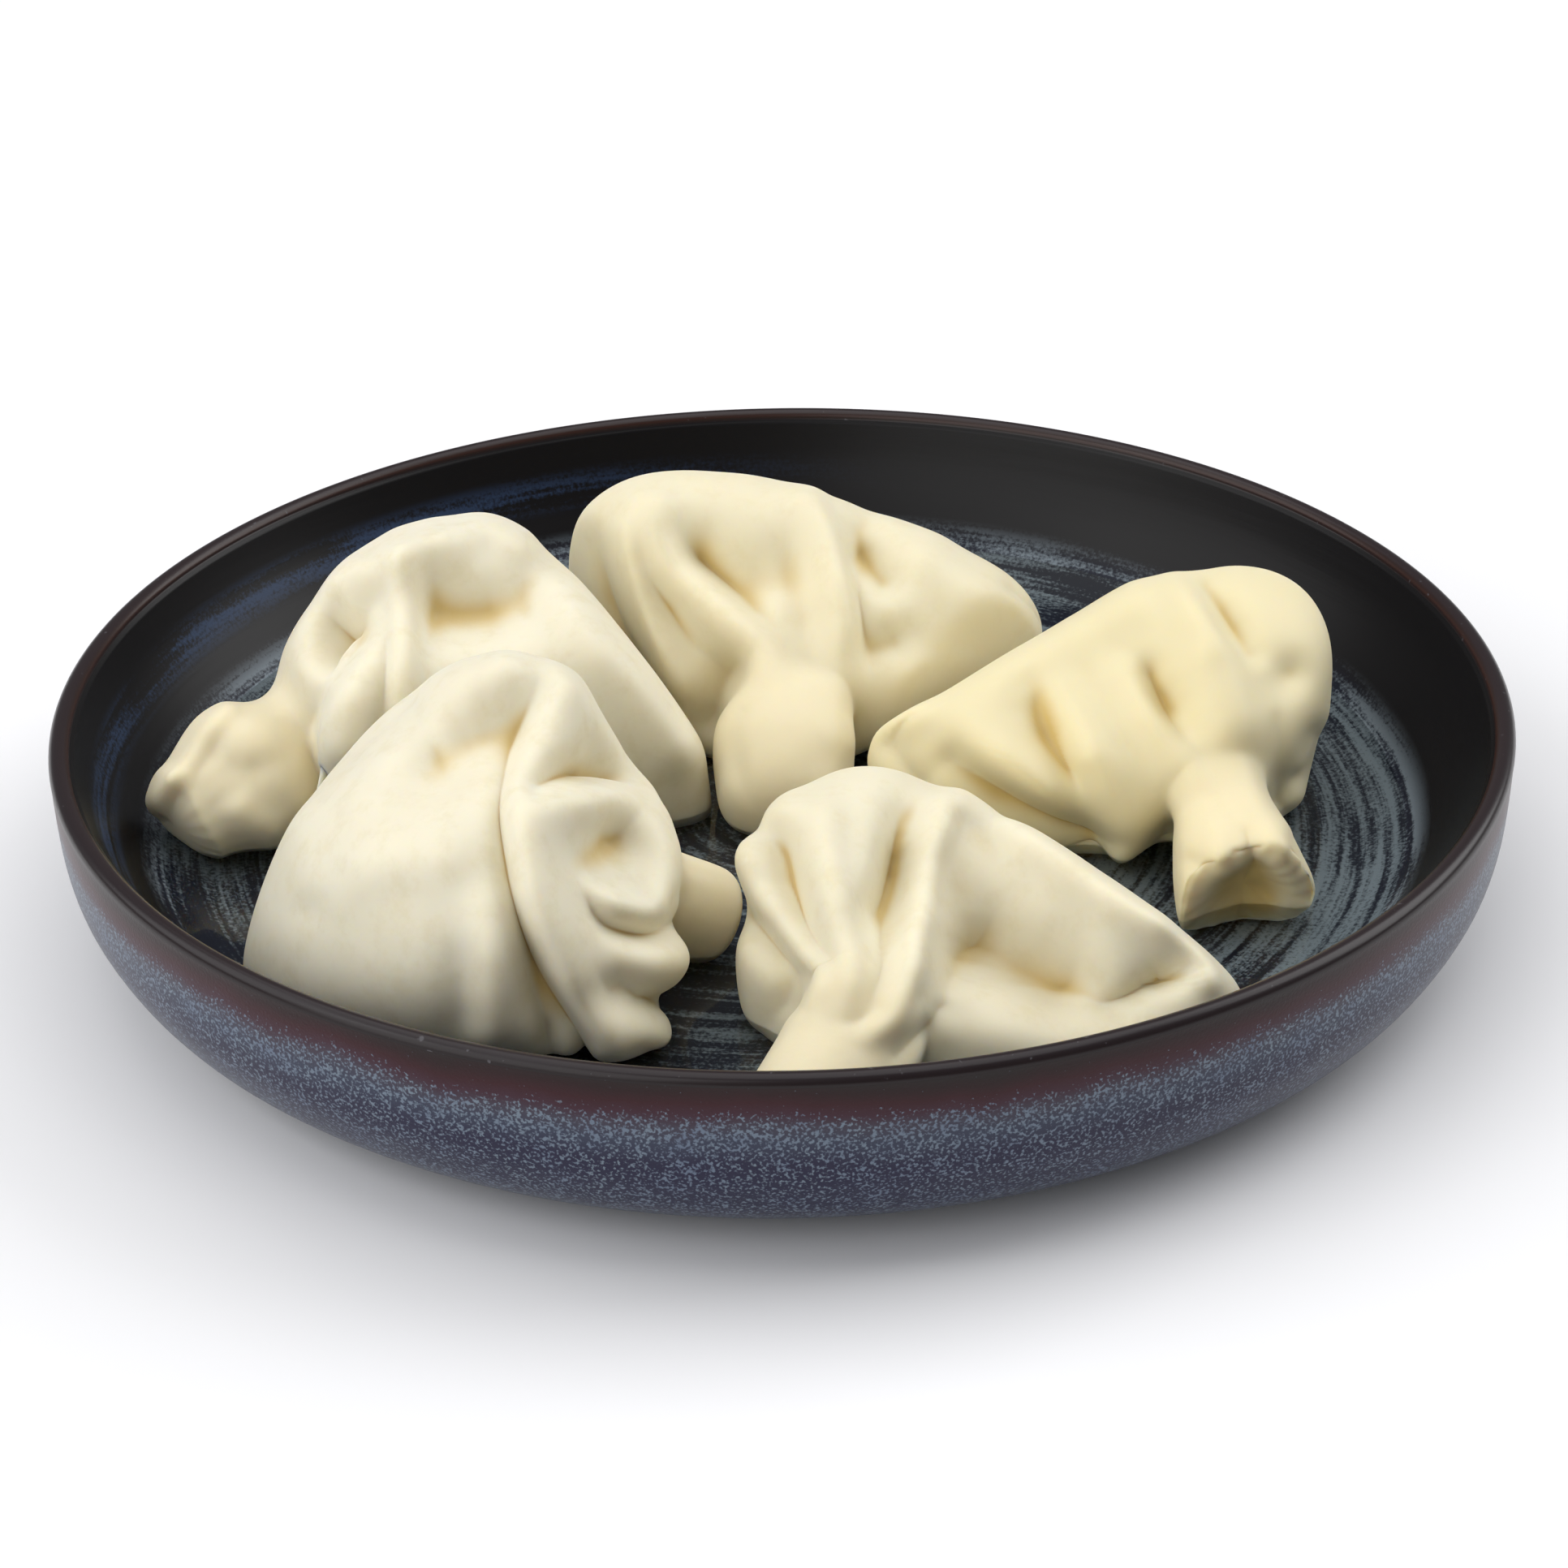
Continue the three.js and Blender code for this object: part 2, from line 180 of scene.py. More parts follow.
def makeBowl():
    # a ring of edges is extruded and resized from the middle of the foot, out, up over the lip and in again
    profile = bowlProfile()
    radius, height = profile[0]
    bpy.ops.mesh.primitive_circle_add(vertices=bowl["sides"], radius=radius * mm, fill_type="TRIFAN",
                                      location=(0, 0, height * mm))
    piece = bpy.context.object
    piece.name = "glazedBowl"
    bpy.ops.object.transform_apply(location=True)
    bpy.ops.object.mode_set(mode="EDIT")
    bpy.ops.mesh.select_mode(type="EDGE")
    bpy.ops.mesh.select_all(action="DESELECT")
    bpy.ops.mesh.select_non_manifold(extend=False)
    for nextRadius, nextHeight in profile[1:]:
        rise = (nextHeight - height) * mm
        bpy.ops.mesh.extrude_edges_move(TRANSFORM_OT_translate={"value": (0, 0, rise)})
        growth = nextRadius / radius
        bpy.ops.transform.resize(value=(growth, growth, 1), center_override=(0, 0, nextHeight * mm))
        radius, height = nextRadius, nextHeight
    bpy.ops.mesh.edge_face_add()
    bpy.ops.mesh.select_all(action="SELECT")
    bpy.ops.mesh.normals_make_consistent(inside=False)
    bpy.ops.object.mode_set(mode="OBJECT")
    bpy.ops.object.shade_smooth()
    return piece


# Settings that many nodes share
softEdge = {"interpolation_type": "SMOOTHSTEP"}
colourMix = {"data_type": "RGBA"}
product = {"operation": "MULTIPLY"}
productAndSum = {"operation": "MULTIPLY_ADD"}


def glazeOutside():
    # Reactive glaze fired glossy: dark plum and navy full of fine pale crystals, thin and red-brown where it
    # runs down from the lip. The eye gets a soft reflection and a grain of about half a millimetre
    material, tree, shader = newMaterial("reactive_glaze_outside")
    place = addNode(tree, "TexCoord")["Object"]
    height = addNode(tree, "SeparateXYZ", None, {"Vector": place})["Z"]
    # the bands of colour follow the height, and their edges run up and down by just over a millimetre
    drift = addNode(tree, "TexNoise", None,
                    {"Vector": place, "Scale": cells(22.22), "Detail": 3, "Roughness": 0.6})["Fac"]
    run = addNode(tree, "MapRange", None, {"Value": drift, "From Min": 0.25, "From Max": 0.75,
                                           "To Min": -1.3 * mm, "To Max": 1.3 * mm})["Result"]
    level = addNode(tree, "Math", None, {0: height, 1: run})[0]
    band = addNode(tree, "MapRange", None,
                   {"Value": level, "From Min": 0, "From Max": lipTop * mm})["Result"]
    ground = addNode(tree, "ValToRGB", {"ramp": [
        (0.00, "232a40"), (0.30, "20213a"), (0.58, "232139"), (0.69, "353a4c"), (0.76, "3d3946"),
        (0.82, "3a1f2b"), (0.87, "331017"), (0.92, "240e10"), (0.965, "1c1211"), (1.0, "1c1615")]},
        {"Fac": band})["Color"]
    # pale crystals, in thicker and thinner clouds, as dense as each band wants them
    grain = addNode(tree, "TexNoise", None, {"Vector": place, "Scale": cells(0.5263), "Detail": 1.5,
                                             "Roughness": 0.5})["Fac"]
    cloud = addNode(tree, "TexNoise", None,
                    {"Vector": place, "Scale": cells(6.25), "Detail": 2})["Fac"]
    amount = addNode(tree, "ValToRGB", {"ramp": [
        (0.00, 0.60), (0.20, 0.57), (0.45, 0.52), (0.60, 0.53), (0.70, 0.63), (0.76, 0.62),
        (0.81, 0.40), (0.88, 0.0)]}, {"Fac": band})["Color"]
    uneven = addNode(tree, "Math", productAndSum, {0: cloud, 1: 0.22, 2: -0.11})[0]
    wanted = addNode(tree, "Math", None, {0: amount, 1: uneven})[0]
    edge = addNode(tree, "MapRange", None,
                   {"Value": wanted, "To Min": 0.78, "To Max": 0.36})["Result"]
    over = addNode(tree, "Math", {"operation": "SUBTRACT"}, {0: grain, 1: edge})[0]
    speck = addNode(tree, "MapRange", softEdge,
                    {"Value": over, "From Min": -0.06, "From Max": 0.12})["Result"]
    tint = addNode(tree, "ValToRGB", {"ramp": [(0.3, "6f7c89"), (0.7, "616d80")]},
                   {"Fac": cloud})["Color"]
    colour = addNode(tree, "Mix", colourMix, {0: speck, 6: ground, 7: tint})[2]
    tree.links.new(colour, shader.inputs["Base Color"])
    peel = addNode(tree, "Bump", None, {"Height": grain, "Strength": 0.12, "Distance": 0.3 * mm})
    tree.links.new(peel["Normal"], shader.inputs["Normal"])
    shader.inputs["Roughness"].default_value = 0.3
    shader.inputs["IOR"].default_value = 1.33
    return material


def glazeInside():
    # The same glaze brushed on in rings: near black on the wall, navy with pale grainy brush arcs on the
    # floor. The eye gets dull reflections, as of a glaze that is wet and finely rippled
    material, tree, shader = newMaterial("brushed_glaze_inside")
    place = addNode(tree, "TexCoord")["Object"]
    parts = addNode(tree, "SeparateXYZ", None, {"Vector": place})
    flat = addNode(tree, "VectorMath", product, {0: place, 1: (1, 1, 0)})[0]
    radius = addNode(tree, "VectorMath", {"operation": "LENGTH"}, {0: flat})["Value"]
    heading = addNode(tree, "VectorMath", {"operation": "NORMALIZE"}, {0: flat})[0]
    # brush arcs: fine across the floor and up the wall, and about fourteen of them round the bowl
    around = addNode(tree, "VectorMath", {"operation": "SCALE"}, {0: heading, "Scale": 2.2})[0]
    outward = addNode(tree, "Math", product, {0: radius, 1: cells(1.5385)})[0]
    upward = addNode(tree, "Math", product, {0: parts["Z"], 1: cells(3.3333)})[0]
    across = addNode(tree, "CombineXYZ", None, {"X": 0, "Y": upward, "Z": outward})[0]
    arcPlace = addNode(tree, "VectorMath", None, {0: around, 1: across})[0]
    arcs = addNode(tree, "TexNoise", None,
                   {"Vector": arcPlace, "Scale": 1, "Detail": 3, "Roughness": 0.6})["Fac"]
    patches = addNode(tree, "TexNoise", None,
                      {"Vector": place, "Scale": cells(35.71), "Detail": 2})["Fac"]
    grain = addNode(tree, "TexNoise", None,
                    {"Vector": place, "Scale": cells(0.6667), "Detail": 2, "Roughness": 0.6})["Fac"]
    onFloor = addNode(tree, "MapRange", softEdge,
                      {"Value": parts["Z"], "From Min": 20.5 * mm, "From Max": 14.5 * mm})["Result"]
    thickness = addNode(tree, "Math", productAndSum, {0: patches, 1: 0.7, 2: -0.35})[0]
    laid = addNode(tree, "Math", None, {0: arcs, 1: thickness})[0]
    crystals = addNode(tree, "Math", productAndSum, {0: grain, 1: 0.6, 2: laid})[0]
    stroke = addNode(tree, "MapRange", softEdge,
                     {"Value": crystals, "From Min": 0.71, "From Max": 1.0})["Result"]
    floorStroke = addNode(tree, "Math", product, {0: stroke, 1: onFloor})[0]
    ground = addNode(tree, "Mix", colourMix, {0: onFloor, 6: srgb("0b090b"), 7: srgb("151a2b")})[2]
    brushed = addNode(tree, "Mix", colourMix, {0: floorStroke, 6: ground, 7: srgb("838f98")})[2]
    # one blue band of crystals goes round the wall, between two heights and strong on the left
    share = addNode(tree, "MapRange", softEdge,
                    {"Value": crystals, "From Min": 0.66, "From Max": 0.95})["Result"]
    for axis, low, high in (("Z", 22.5, 26.5), ("Z", 31, 27.5), ("X", 30, -90)):
        limits = {"From Min": low * mm, "From Max": high * mm}
        within = addNode(tree, "MapRange", softEdge, {"Value": parts[axis], **limits})["Result"]
        share = addNode(tree, "Math", product, {0: share, 1: within})[0]
    colour = addNode(tree, "Mix", colourMix, {0: share, 6: brushed, 7: srgb("2b3b56")})[2]
    tree.links.new(colour, shader.inputs["Base Color"])
    ripple = addNode(tree, "Bump", None, {"Height": arcs, "Strength": 0.1, "Distance": 0.4 * mm})
    tree.links.new(ripple["Normal"], shader.inputs["Normal"])
    shader.inputs["Roughness"].default_value = 0.36
    shader.inputs["Specular IOR Level"].default_value = 0.3
    shader.inputs["IOR"].default_value = 1.4
    return material


def glazeLip():
    # On the lip the glaze runs thin and breaks to dark brown, with a slightly redder line at its inner edge
    material, tree, shader = newMaterial("broken_glaze_lip")
    place = addNode(tree, "TexCoord")["Object"]
    flat = addNode(tree, "VectorMath", product, {0: place, 1: (1, 1, 0)})[0]
    radius = addNode(tree, "VectorMath", {"operation": "LENGTH"}, {0: flat})["Value"]
    across = addNode(tree, "MapRange", None, {"Value": radius, "From Min": bowl["innerRimRadius"] * mm,
                                              "From Max": bowl["rimRadius"] * mm})["Result"]
    ground = addNode(tree, "ValToRGB", {"ramp": [
        (0.0, "1d1516"), (0.06, "351f19"), (0.14, "2b1c19"), (0.24, "2a2022"), (0.8, "231c1f"),
        (1.0, "1c1314")]}, {"Fac": across})["Color"]
    grain = addNode(tree, "TexNoise", None,
                    {"Vector": place, "Scale": cells(1.4286), "Detail": 2})["Fac"]
    specks = addNode(tree, "MapRange", softEdge,
                     {"Value": grain, "From Min": 0.70, "From Max": 0.76})["Result"]
    colour = addNode(tree, "Mix", colourMix, {0: specks, 6: ground, 7: srgb("4d4a4e")})[2]
    tree.links.new(colour, shader.inputs["Base Color"])
    shader.inputs["Roughness"].default_value = 0.28
    shader.inputs["IOR"].default_value = 1.36
    return material


def bareClay():
    # Unglazed stoneware under the foot: matt, warm grey, with a fine grit
    material, tree, shader = newMaterial("bare_stoneware_foot")
    place = addNode(tree, "TexCoord")["Object"]
    grit = addNode(tree, "TexNoise", None,
                   {"Vector": place, "Scale": cells(0.7143), "Detail": 3})["Fac"]
    colour = addNode(tree, "ValToRGB", {"ramp": [(0.3, "6f6254"), (0.6, "9c8c79"), (0.75, "b3a48f")]},
                     {"Fac": grit})["Color"]
    tree.links.new(colour, shader.inputs["Base Color"])
    rough = addNode(tree, "Bump", None, {"Height": grit, "Strength": 0.4, "Distance": 0.3 * mm})
    tree.links.new(rough["Normal"], shader.inputs["Normal"])
    shader.inputs["Roughness"].default_value = 0.85
    return material


def glazeBowl(piece):
    # the outside glaze covers every face that isn't on the lip, the foot ring or the inside
    for material in (glazeOutside(), glazeInside(), glazeLip(), bareClay()):
        piece.data.materials.append(material)
    inside, lip, foot = 1, 2, 3
    bareStart, bareEnd = bowl["bareRadii"]
    for face in piece.data.polygons:
        centre = face.center / mm
        radius = math.hypot(centre.x, centre.y)
        facesAxis = centre.x * face.normal.x + centre.y * face.normal.y < 0
        if centre.z > lipBase:
            face.material_index = lip
        elif centre.z < bowl["bareHeight"] and bareStart < radius < bareEnd:
            face.material_index = foot
        elif face.normal.z > bowl["floorTilt"] and centre.z > bowl["floorHeight"] - bowl["floorMargin"]:
            face.material_index = inside
        elif facesAxis and centre.z > bowl["floorHeight"]:
            face.material_index = inside


bowlPiece = makeBowl()
glazeBowl(bowlPiece)
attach(bowlPiece, "root")
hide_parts("bowl")
print("bowl made")


# The dumplings: one skin each, drawn from belly to stem, settled in the bowl and then folded.
# A stage says how far along the skin a point lies: 0 at the belly, 1 at the neck, 2 at the stem's end

dough = {
    "columns": 280,
    "rings": 256,
    "bodyShare": 0.76,     # of the rings, from the belly to the neck
    "stemShare": 0.17,     # of the rings, along the stem
    "joinGap": 1e-5,       # as a share of the ball's radius
    "restGap": 0.35,
    "wallGap": 0.6,
    "neighbourGap": 0.3,
    "wallSoftness": 1.6,
    "floorSoftness": 1.4,
    "secondSoftness": 0.4,
    "turnStages": (0.8, 1.15),
    "freeStages": (0.9, 1.05),
    # shallow gathers round the body, which sway a little and ease off at the neck
    "gatherCount": 11,
    "gatherDepth": 0.02,
    "gatherStages": (0.5, 0.85),
    "gatherEase": 0.4,
    "swayShare": 0.12,
    "swayCount": 3,
    "swayTurn": 1,
    # the stem: its swell, its flutes, its torn edge and its closed or hollow end
    "swellPower": 1.5,
    "fluteCount": 5,
    "fluteTurn": 0.4,
    "fluteStages": (0.95, 1.4),
    "frayShare": 0.6,
    "frayCounts": (7, 11),
    "frayTurn": 2.1,
    "tornStages": (0.45, 1),
    "tornFade": 3,
    "capPower": 0.8,
    "domePower": 1.2,
    "cavityWall": (0.55, 0.95),
    "rimParts": 3,
    # folds
    "cornerStep": 0.5,
    "lineSteps": 5,
    "foldFade": 0.35,
    "foldReach": 2.6,
    "foldPasses": 2,
    "facingShares": (-0.4, 0.15),
    "sightShare": 0.7,
    "stemStages": (1.02, 1.15),
    "swell": 0.7,
    # evening out, and how deep in the folds a point counts as lying, which sets the painted shade in the
    # folds: less of it on the neck, and some painted into the hollow end of a stem
    "evenShare": 0.5,
    "evenTurns": 5,
    "evenStages": (1, 1.3),
    "endEvenStages": (1.6, 1.9),
    "neckEvenStages": ((0.82, 0.97), (1.15, 1.4)),
    "hollowTurns": 220,
    "neckShadeShare": 0.75,
    "neckShadeStages": ((0.75, 1.05), (1.3, 1.6)),
    "cavityShade": 1.6,
    "cavityShadeStages": (0.5, 0.9),
    "eye": np.array((0, -579.7, 331.1)),
    "sightDrop": 28.354,
}

# belly, middle, neck, end: four points of the centre line. neckRadius, endRadius, stemSwell: the stem's two
# ends and how much thicker it is between them. bellyPower: how blunt the belly's end is. warmth: how yellow
# shoulders: how the skin narrows to the neck at the right, top, left and bottom: blunt below 1, flared above
# reach: from the centre line to the skin, every 30 degrees, from the right as the stem sees it, over the top
# neckTurns, endTurns: how often the skin is evened near the neck and at the stem's end. flute: the depth of
# the stem's flutes. foldEnd: the stage where the body's folds have faded
# torn: how far the stem's torn edge stands out, every 30 degrees. endHollow: how deep the end is hollowed,
# or below 0 how far it bulges. rim: how far its edge rolls up
# presses: planes that flatten it: point, azimuth, elevation, softness
# folds, stemFolds: push (crest +, crease -), width to the left and right of the line, the line's corners as
# picked in the photo in pixels, share of the push at its start and end
khinkali = [
    {
        "node": "khinkali_back_left",
        "belly": (-10, 5, 15),
        "middle": (-53, 17, 30),
        "neck": (-84, 1, 27),
        "end": (-101, -13, 21),
        "neckRadius": 9.5, "endRadius": 9.5, "stemSwell": 4,
        "shoulders": [0.5, 0.5, 0.6, 0.7], "bellyPower": 0.92, "warmth": 0.15,
        "reach": [30, 31, 30, 29, 30, 31, 30, 26, 21, 18, 22, 29],
        "neckTurns": 50, "endTurns": 6, "flute": 0.02, "foldEnd": 1.12,
        "torn": [1, 1, 0, -1.5, -1, 1, 3, 6, 5, 2, 0, 0], "endHollow": -4, "rim": 0.3,
        "presses": [((-22, 20, 20), 28, 0, 1.5), ((-30, 25.5, 44.5), 20, 31, 5)],
        "folds": [
            (4.5, 2.6, 2.4, [(500, 690), (498, 740), (496, 800), (490, 870)], 0.5, 1),
            (-13, 3, 5, [(452, 750), (442, 770), (428, 792), (414, 812), (405, 832)], 0.2, 0.3),
            (4.5, 4, 4, [(425, 715), (475, 690), (530, 672)], 0.8, 0.6),
            (3, 3.4, 3, [(430, 705), (400, 740), (383, 780), (378, 830)], 0.6, 0.8),
            (5, 5, 4.5, [(440, 830), (432, 870), (425, 915)], 0.7, 1),
            (-1.2, 1.4, 1.4, [(479, 755), (478, 800), (476, 870)], 0.4, 1),
            (-9, 6.5, 7, [(540, 752), (590, 750), (640, 738)], 0.9, 0.7),
            (3, 3, 3, [(500, 672), (555, 665), (600, 650), (640, 668)], 0.6, 0.8),
            (4.5, 5.5, 5, [(700, 741), (740, 800), (790, 850), (835, 915)], 0.4, 1),
            (-3.4, 1.4, 1.8, [(396, 860), (386, 900), (392, 940), (410, 965)], 1, 1),
        ],
        "stemFolds": [
            (2.2, 2, 2, [(280, 872), (260, 896), (240, 926), (218, 958)], 0.8, 1),
            (-0.9, 3, 3, [(262, 925), (300, 950), (345, 935)], 0.7, 0.5),
            (3.5, 1.8, 1.8, [(208, 962), (192, 990)], 1, 1),
            (1.8, 3, 3, [(300, 1000), (335, 1025)], 1, 1),
        ],
    },
    {
        "node": "khinkali_back",
        "belly": (9, 60, 22),
        "middle": (5, 39, 30),
        "neck": (1, 11, 28),
        "end": (0, -9, 19.5),
        "neckRadius": 11.2, "endRadius": 11.5, "stemSwell": 1.2,
        "shoulders": [1.4, 1.8, 1.3, 1.0], "bellyPower": 1, "warmth": 0.5,
        "reach": [44, 31, 25, 25, 32, 45, 50, 38, 23, 19, 21, 28],
        "neckTurns": 90, "endTurns": 70, "flute": 0, "foldEnd": 1.2,
        "torn": [0] * 12, "endHollow": -7, "rim": 0,
        "presses": [((-22, 20, 20), 208, 0, 1.5), ((31, 19, 20), -50, 0, 1.5)],
        "folds": [
            (-3.5, 1.2, 3, [(735, 670), (745, 700), (765, 760), (792, 815), (825, 865)], 0.3, 0.8),
            (2.8, 2.6, 2.4, [(785, 620), (768, 665), (776, 730), (795, 790), (825, 845)], 0.6, 0.7),
            (-5.5, 5, 4.2, [(796, 700), (818, 746), (852, 795), (890, 832)], 0.4, 1),
            (5, 2, 4.2, [(815, 625), (812, 655), (832, 692), (868, 728),
                (905, 760), (937, 795), (955, 845)], 0.5, 0.4),
            (-7, 8, 6, [(868, 690), (915, 712), (965, 712)], 0.9, 0.8),
            (-2.6, 2.8, 2.4, [(858, 684), (900, 724), (938, 762), (955, 790)], 1, 0.3),
            (4, 2, 4.8, [(1003, 620), (1018, 655), (1031, 705),
                (1043, 765), (1048, 825), (1040, 900)], 0.6, 0.3),
            (-6, 4.6, 2.6, [(1056, 655), (1066, 685), (1084, 712)], 0.5, 0.7),
            (-1.5, 1.5, 1.3, [(1047, 690), (1060, 760), (1064, 815)], 0.6, 0.3),
            (-2.6, 5, 5, [(990, 770), (995, 815)], 1, 1),
            (2, 5, 5, [(1150, 690), (1200, 735)], 1, 1),
            (-2.6, 4, 4, [(1078, 800), (1120, 785)], 1, 0.6),
            (1.6, 3, 3, [(1096, 856), (1127, 838), (1180, 822)], 0.3, 0.7),
            (-6, 2.6, 2.4, [(903, 818), (886, 852), (876, 892)], 0.8, 1),
            (-2, 1.2, 1.2, [(1243, 724), (1268, 742), (1288, 769)], 0.7, 1),
        ],
        "stemFolds": [
            (0.6, 5, 5, [(905, 895), (980, 905), (1050, 895)], 1, 1),
            (-0.7, 2.4, 2.4, [(920, 955), (985, 950), (1040, 936)], 1, 1),
            (-0.8, 1.5, 1.5, [(1040, 875), (1048, 915), (1046, 960)], 0.6, 1),
            (-0.9, 1.6, 1.6, [(915, 880), (905, 920), (912, 965)], 0.6, 1),
        ],
    },
    {
        "node": "khinkali_right",
        "belly": (58, 31, 24),
        "middle": (62, 6, 29),
        "neck": (73, -23, 28),
        "end": (76, -43.5, 19.5),
        "neckRadius": 8.2, "endRadius": 11.8, "stemSwell": 0,
        "shoulders": [1.3, 1.2, 1.1, 1.1], "bellyPower": 1, "warmth": 1,
        "reach": [34, 36, 26, 21, 19, 25, 49, 38, 22, 18, 24, 33],
        "neckTurns": 90, "endTurns": 14, "flute": 0.03, "foldEnd": 1.3,
        "torn": [1, 0, -1, -1.5, -1, 0, 2, 3, 3.5, 2.5, 3.5, 2], "endHollow": 3, "rim": 0.5,
        "presses": [((33, 16.5, 20), 130, 0, 1.5), ((51.5, 15, 45.5), 141, 49, 3)],
        "folds": [
            (9.5, 3.6, 3.6, [(1090, 876), (1106, 866), (1122, 878)], 1, 0.5),
            (3.5, 5, 5, [(1180, 862), (1250, 820), (1320, 775), (1390, 740)], 0.3, 1),
            (-2, 1.8, 1.3, [(1088, 872), (1092, 905), (1110, 940), (1132, 968)], 0.6, 1),
            (4.2, 4.5, 1.6, [(1170, 888), (1215, 925), (1260, 955), (1300, 980), (1342, 1000)], 0.4, 1),
            (-6, 1.6, 4.5, [(1180, 932), (1230, 970), (1280, 1002), (1330, 1024), (1362, 1034)], 0.5, 1),
            (-6.6, 2.4, 4.6, [(1268, 850), (1288, 880), (1305, 915), (1326, 960), (1348, 998)], 0.2, 1),
            (3.4, 5, 2.2, [(1300, 865), (1322, 910), (1344, 955), (1364, 1000), (1380, 1045)], 0.4, 1),
            (3, 2.2, 4, [(1465, 960), (1432, 988), (1404, 1020), (1386, 1060)], 0.4, 1),
            (-4.2, 4.6, 2.8, [(1482, 1004), (1456, 1014), (1432, 1036),
                (1411, 1064), (1400, 1097)], 0.2, 1),
            (-5, 4.4, 2, [(1416, 834), (1432, 866), (1450, 896)], 0.7, 0.4),
            (2.6, 1.4, 5, [(1396, 835), (1420, 888), (1452, 930), (1480, 956)], 0.4, 0.8),
            (4, 6, 6, [(1480, 770), (1502, 835), (1518, 890)], 0.6, 1),
            (-4, 3.2, 1.4, [(1484, 728), (1500, 748), (1518, 775), (1534, 802)], 0.5, 0.5),
            (2.4, 1.8, 4.5, [(1450, 722), (1470, 748), (1492, 786)], 0.6, 0.6),
            (-2.4, 4, 4, [(1590, 830)], 1, 1),
            (-3.4, 3.4, 2.6, [(1628, 915), (1612, 950), (1590, 966), (1574, 990)], 1, 1),
            (-1.2, 0.9, 0.9, [(1572, 885), (1577, 925), (1571, 962), (1573, 990)], 0.6, 1),
            (1.5, 4.5, 4.5, [(1530, 940), (1532, 980), (1535, 1025)], 0.2, 0.5),
        ],
        "stemFolds": [
            (-1.6, 1.4, 1.4, [(1536, 1030), (1546, 1065), (1554, 1100)], 0.5, 1),
            (-1.4, 1.3, 1.3, [(1592, 1035), (1606, 1070), (1618, 1100)], 0.5, 1),
            (1.4, 2.4, 2.4, [(1570, 1030), (1582, 1065), (1590, 1100)], 0.6, 1),
            (1.2, 2.2, 2.2, [(1500, 1030), (1500, 1065), (1505, 1095)], 0.6, 1),
            (-1.2, 2, 2, [(1470, 1060), (1490, 1068)], 1, 1),
        ],
    },
    {
        "node": "khinkali_front_left",
        "belly": (-88, -58, 15),
        "middle": (-48, -55, 34),
        "neck": (-22, -50, 25),
        "end": (-13, -46, 18),
        "neckRadius": 8.5, "endRadius": 9, "stemSwell": 0,
        "shoulders": [0.4, 0.4, 0.4, 0.4], "bellyPower": 1.4, "warmth": 0.15,
        "reach": [33, 33, 32, 30, 29, 32, 37, 34, 24, 21, 25, 32],
        "neckTurns": 20, "endTurns": 40, "flute": 0, "foldEnd": 1.12,
        "torn": [0] * 12, "endHollow": -3, "rim": 0,
        "presses": [((-10, -60, 20), -8, 0, 2)],
        "folds": [
            (5.5, 5, 5, [(590, 835), (640, 822), (685, 840)], 0.6, 0.8),
            (-5, 5, 5, [(395, 960), (440, 905), (490, 862)], 0.5, 0.8),
            (4.5, 6, 2.3, [(684, 835), (684, 865), (672, 905), (652, 950), (643, 1000),
                (646, 1060), (658, 1120), (682, 1180), (714, 1235), (754, 1290)], 0.5, 1),
            (-3.6, 1.3, 1.8, [(658, 868), (642, 905), (627, 945), (620, 1000), (626, 1060),
                (640, 1122), (662, 1180), (690, 1235), (728, 1288)], 0.2, 1),
            (-7.5, 6.5, 7.5, [(545, 918), (588, 905), (628, 898)], 0.8, 0.9),
            (-3.5, 5, 5, [(535, 945), (500, 965)], 1, 0.8),
            (-0.6, 2, 2, [(455, 968)], 1, 1),
            (-4.5, 4, 2, [(640, 1140), (655, 1210), (672, 1270)], 0.3, 1),
            (3, 3.4, 3.4, [(600, 1120), (606, 1190), (606, 1270)], 0.5, 1),
            (-1.6, 4, 4, [(568, 1190), (572, 1250)], 0.7, 1),
            (-9.5, 3.6, 1.3, [(666, 968), (700, 958), (745, 955), (785, 960)], 0.6, 0.3),
            (4.2, 1.4, 4.5, [(672, 994), (715, 986), (760, 983), (800, 996)], 0.4, 0.8),
            (-2.6, 4, 4, [(735, 925), (752, 940)], 1, 1),
            (2.6, 2.6, 2.6, [(704, 858), (735, 895), (765, 935)], 0.8, 0.8),
            (-5.6, 4.4, 5, [(736, 1058), (757, 1030), (784, 1008)], 0.7, 0.7),
            (3, 2.6, 2.6, [(808, 1015), (818, 1050), (816, 1095)], 0.7, 1),
            (3.4, 3, 1.3, [(728, 1092), (760, 1120), (798, 1130), (818, 1118)], 0.3, 1),
            (-3.6, 1.3, 2.2, [(722, 1110), (752, 1136), (798, 1150), (830, 1138), (842, 1105)], 0.2, 1),
            (4, 4.2, 4.2, [(780, 1186), (830, 1180), (852, 1182)], 0.7, 1),
            (-6, 1.6, 1.6, [(788, 1231), (812, 1233), (838, 1238)], 0.3, 0.9),
            (3.6, 2.6, 2.6, [(760, 1262), (805, 1278), (826, 1290)], 0.6, 1),
            (4.5, 5, 5, [(668, 1275), (705, 1292), (748, 1300)], 0.8, 0.8),
            (-2.2, 3, 3, [(735, 1225), (765, 1215)], 0.6, 1),
            (1.5, 4.5, 4.5, [(400, 1090), (470, 1060), (540, 1060)], 0.7, 1),
            (-0.8, 3, 3, [(415, 1075), (382, 1120)], 1, 1),
        ],
        "stemFolds": [],
    },
    {
        "node": "khinkali_front",
        "belly": (37, -33, 20),
        "middle": (30, -58, 26),
        "neck": (12.5, -86, 23),
        "end": (3, -103, 16),
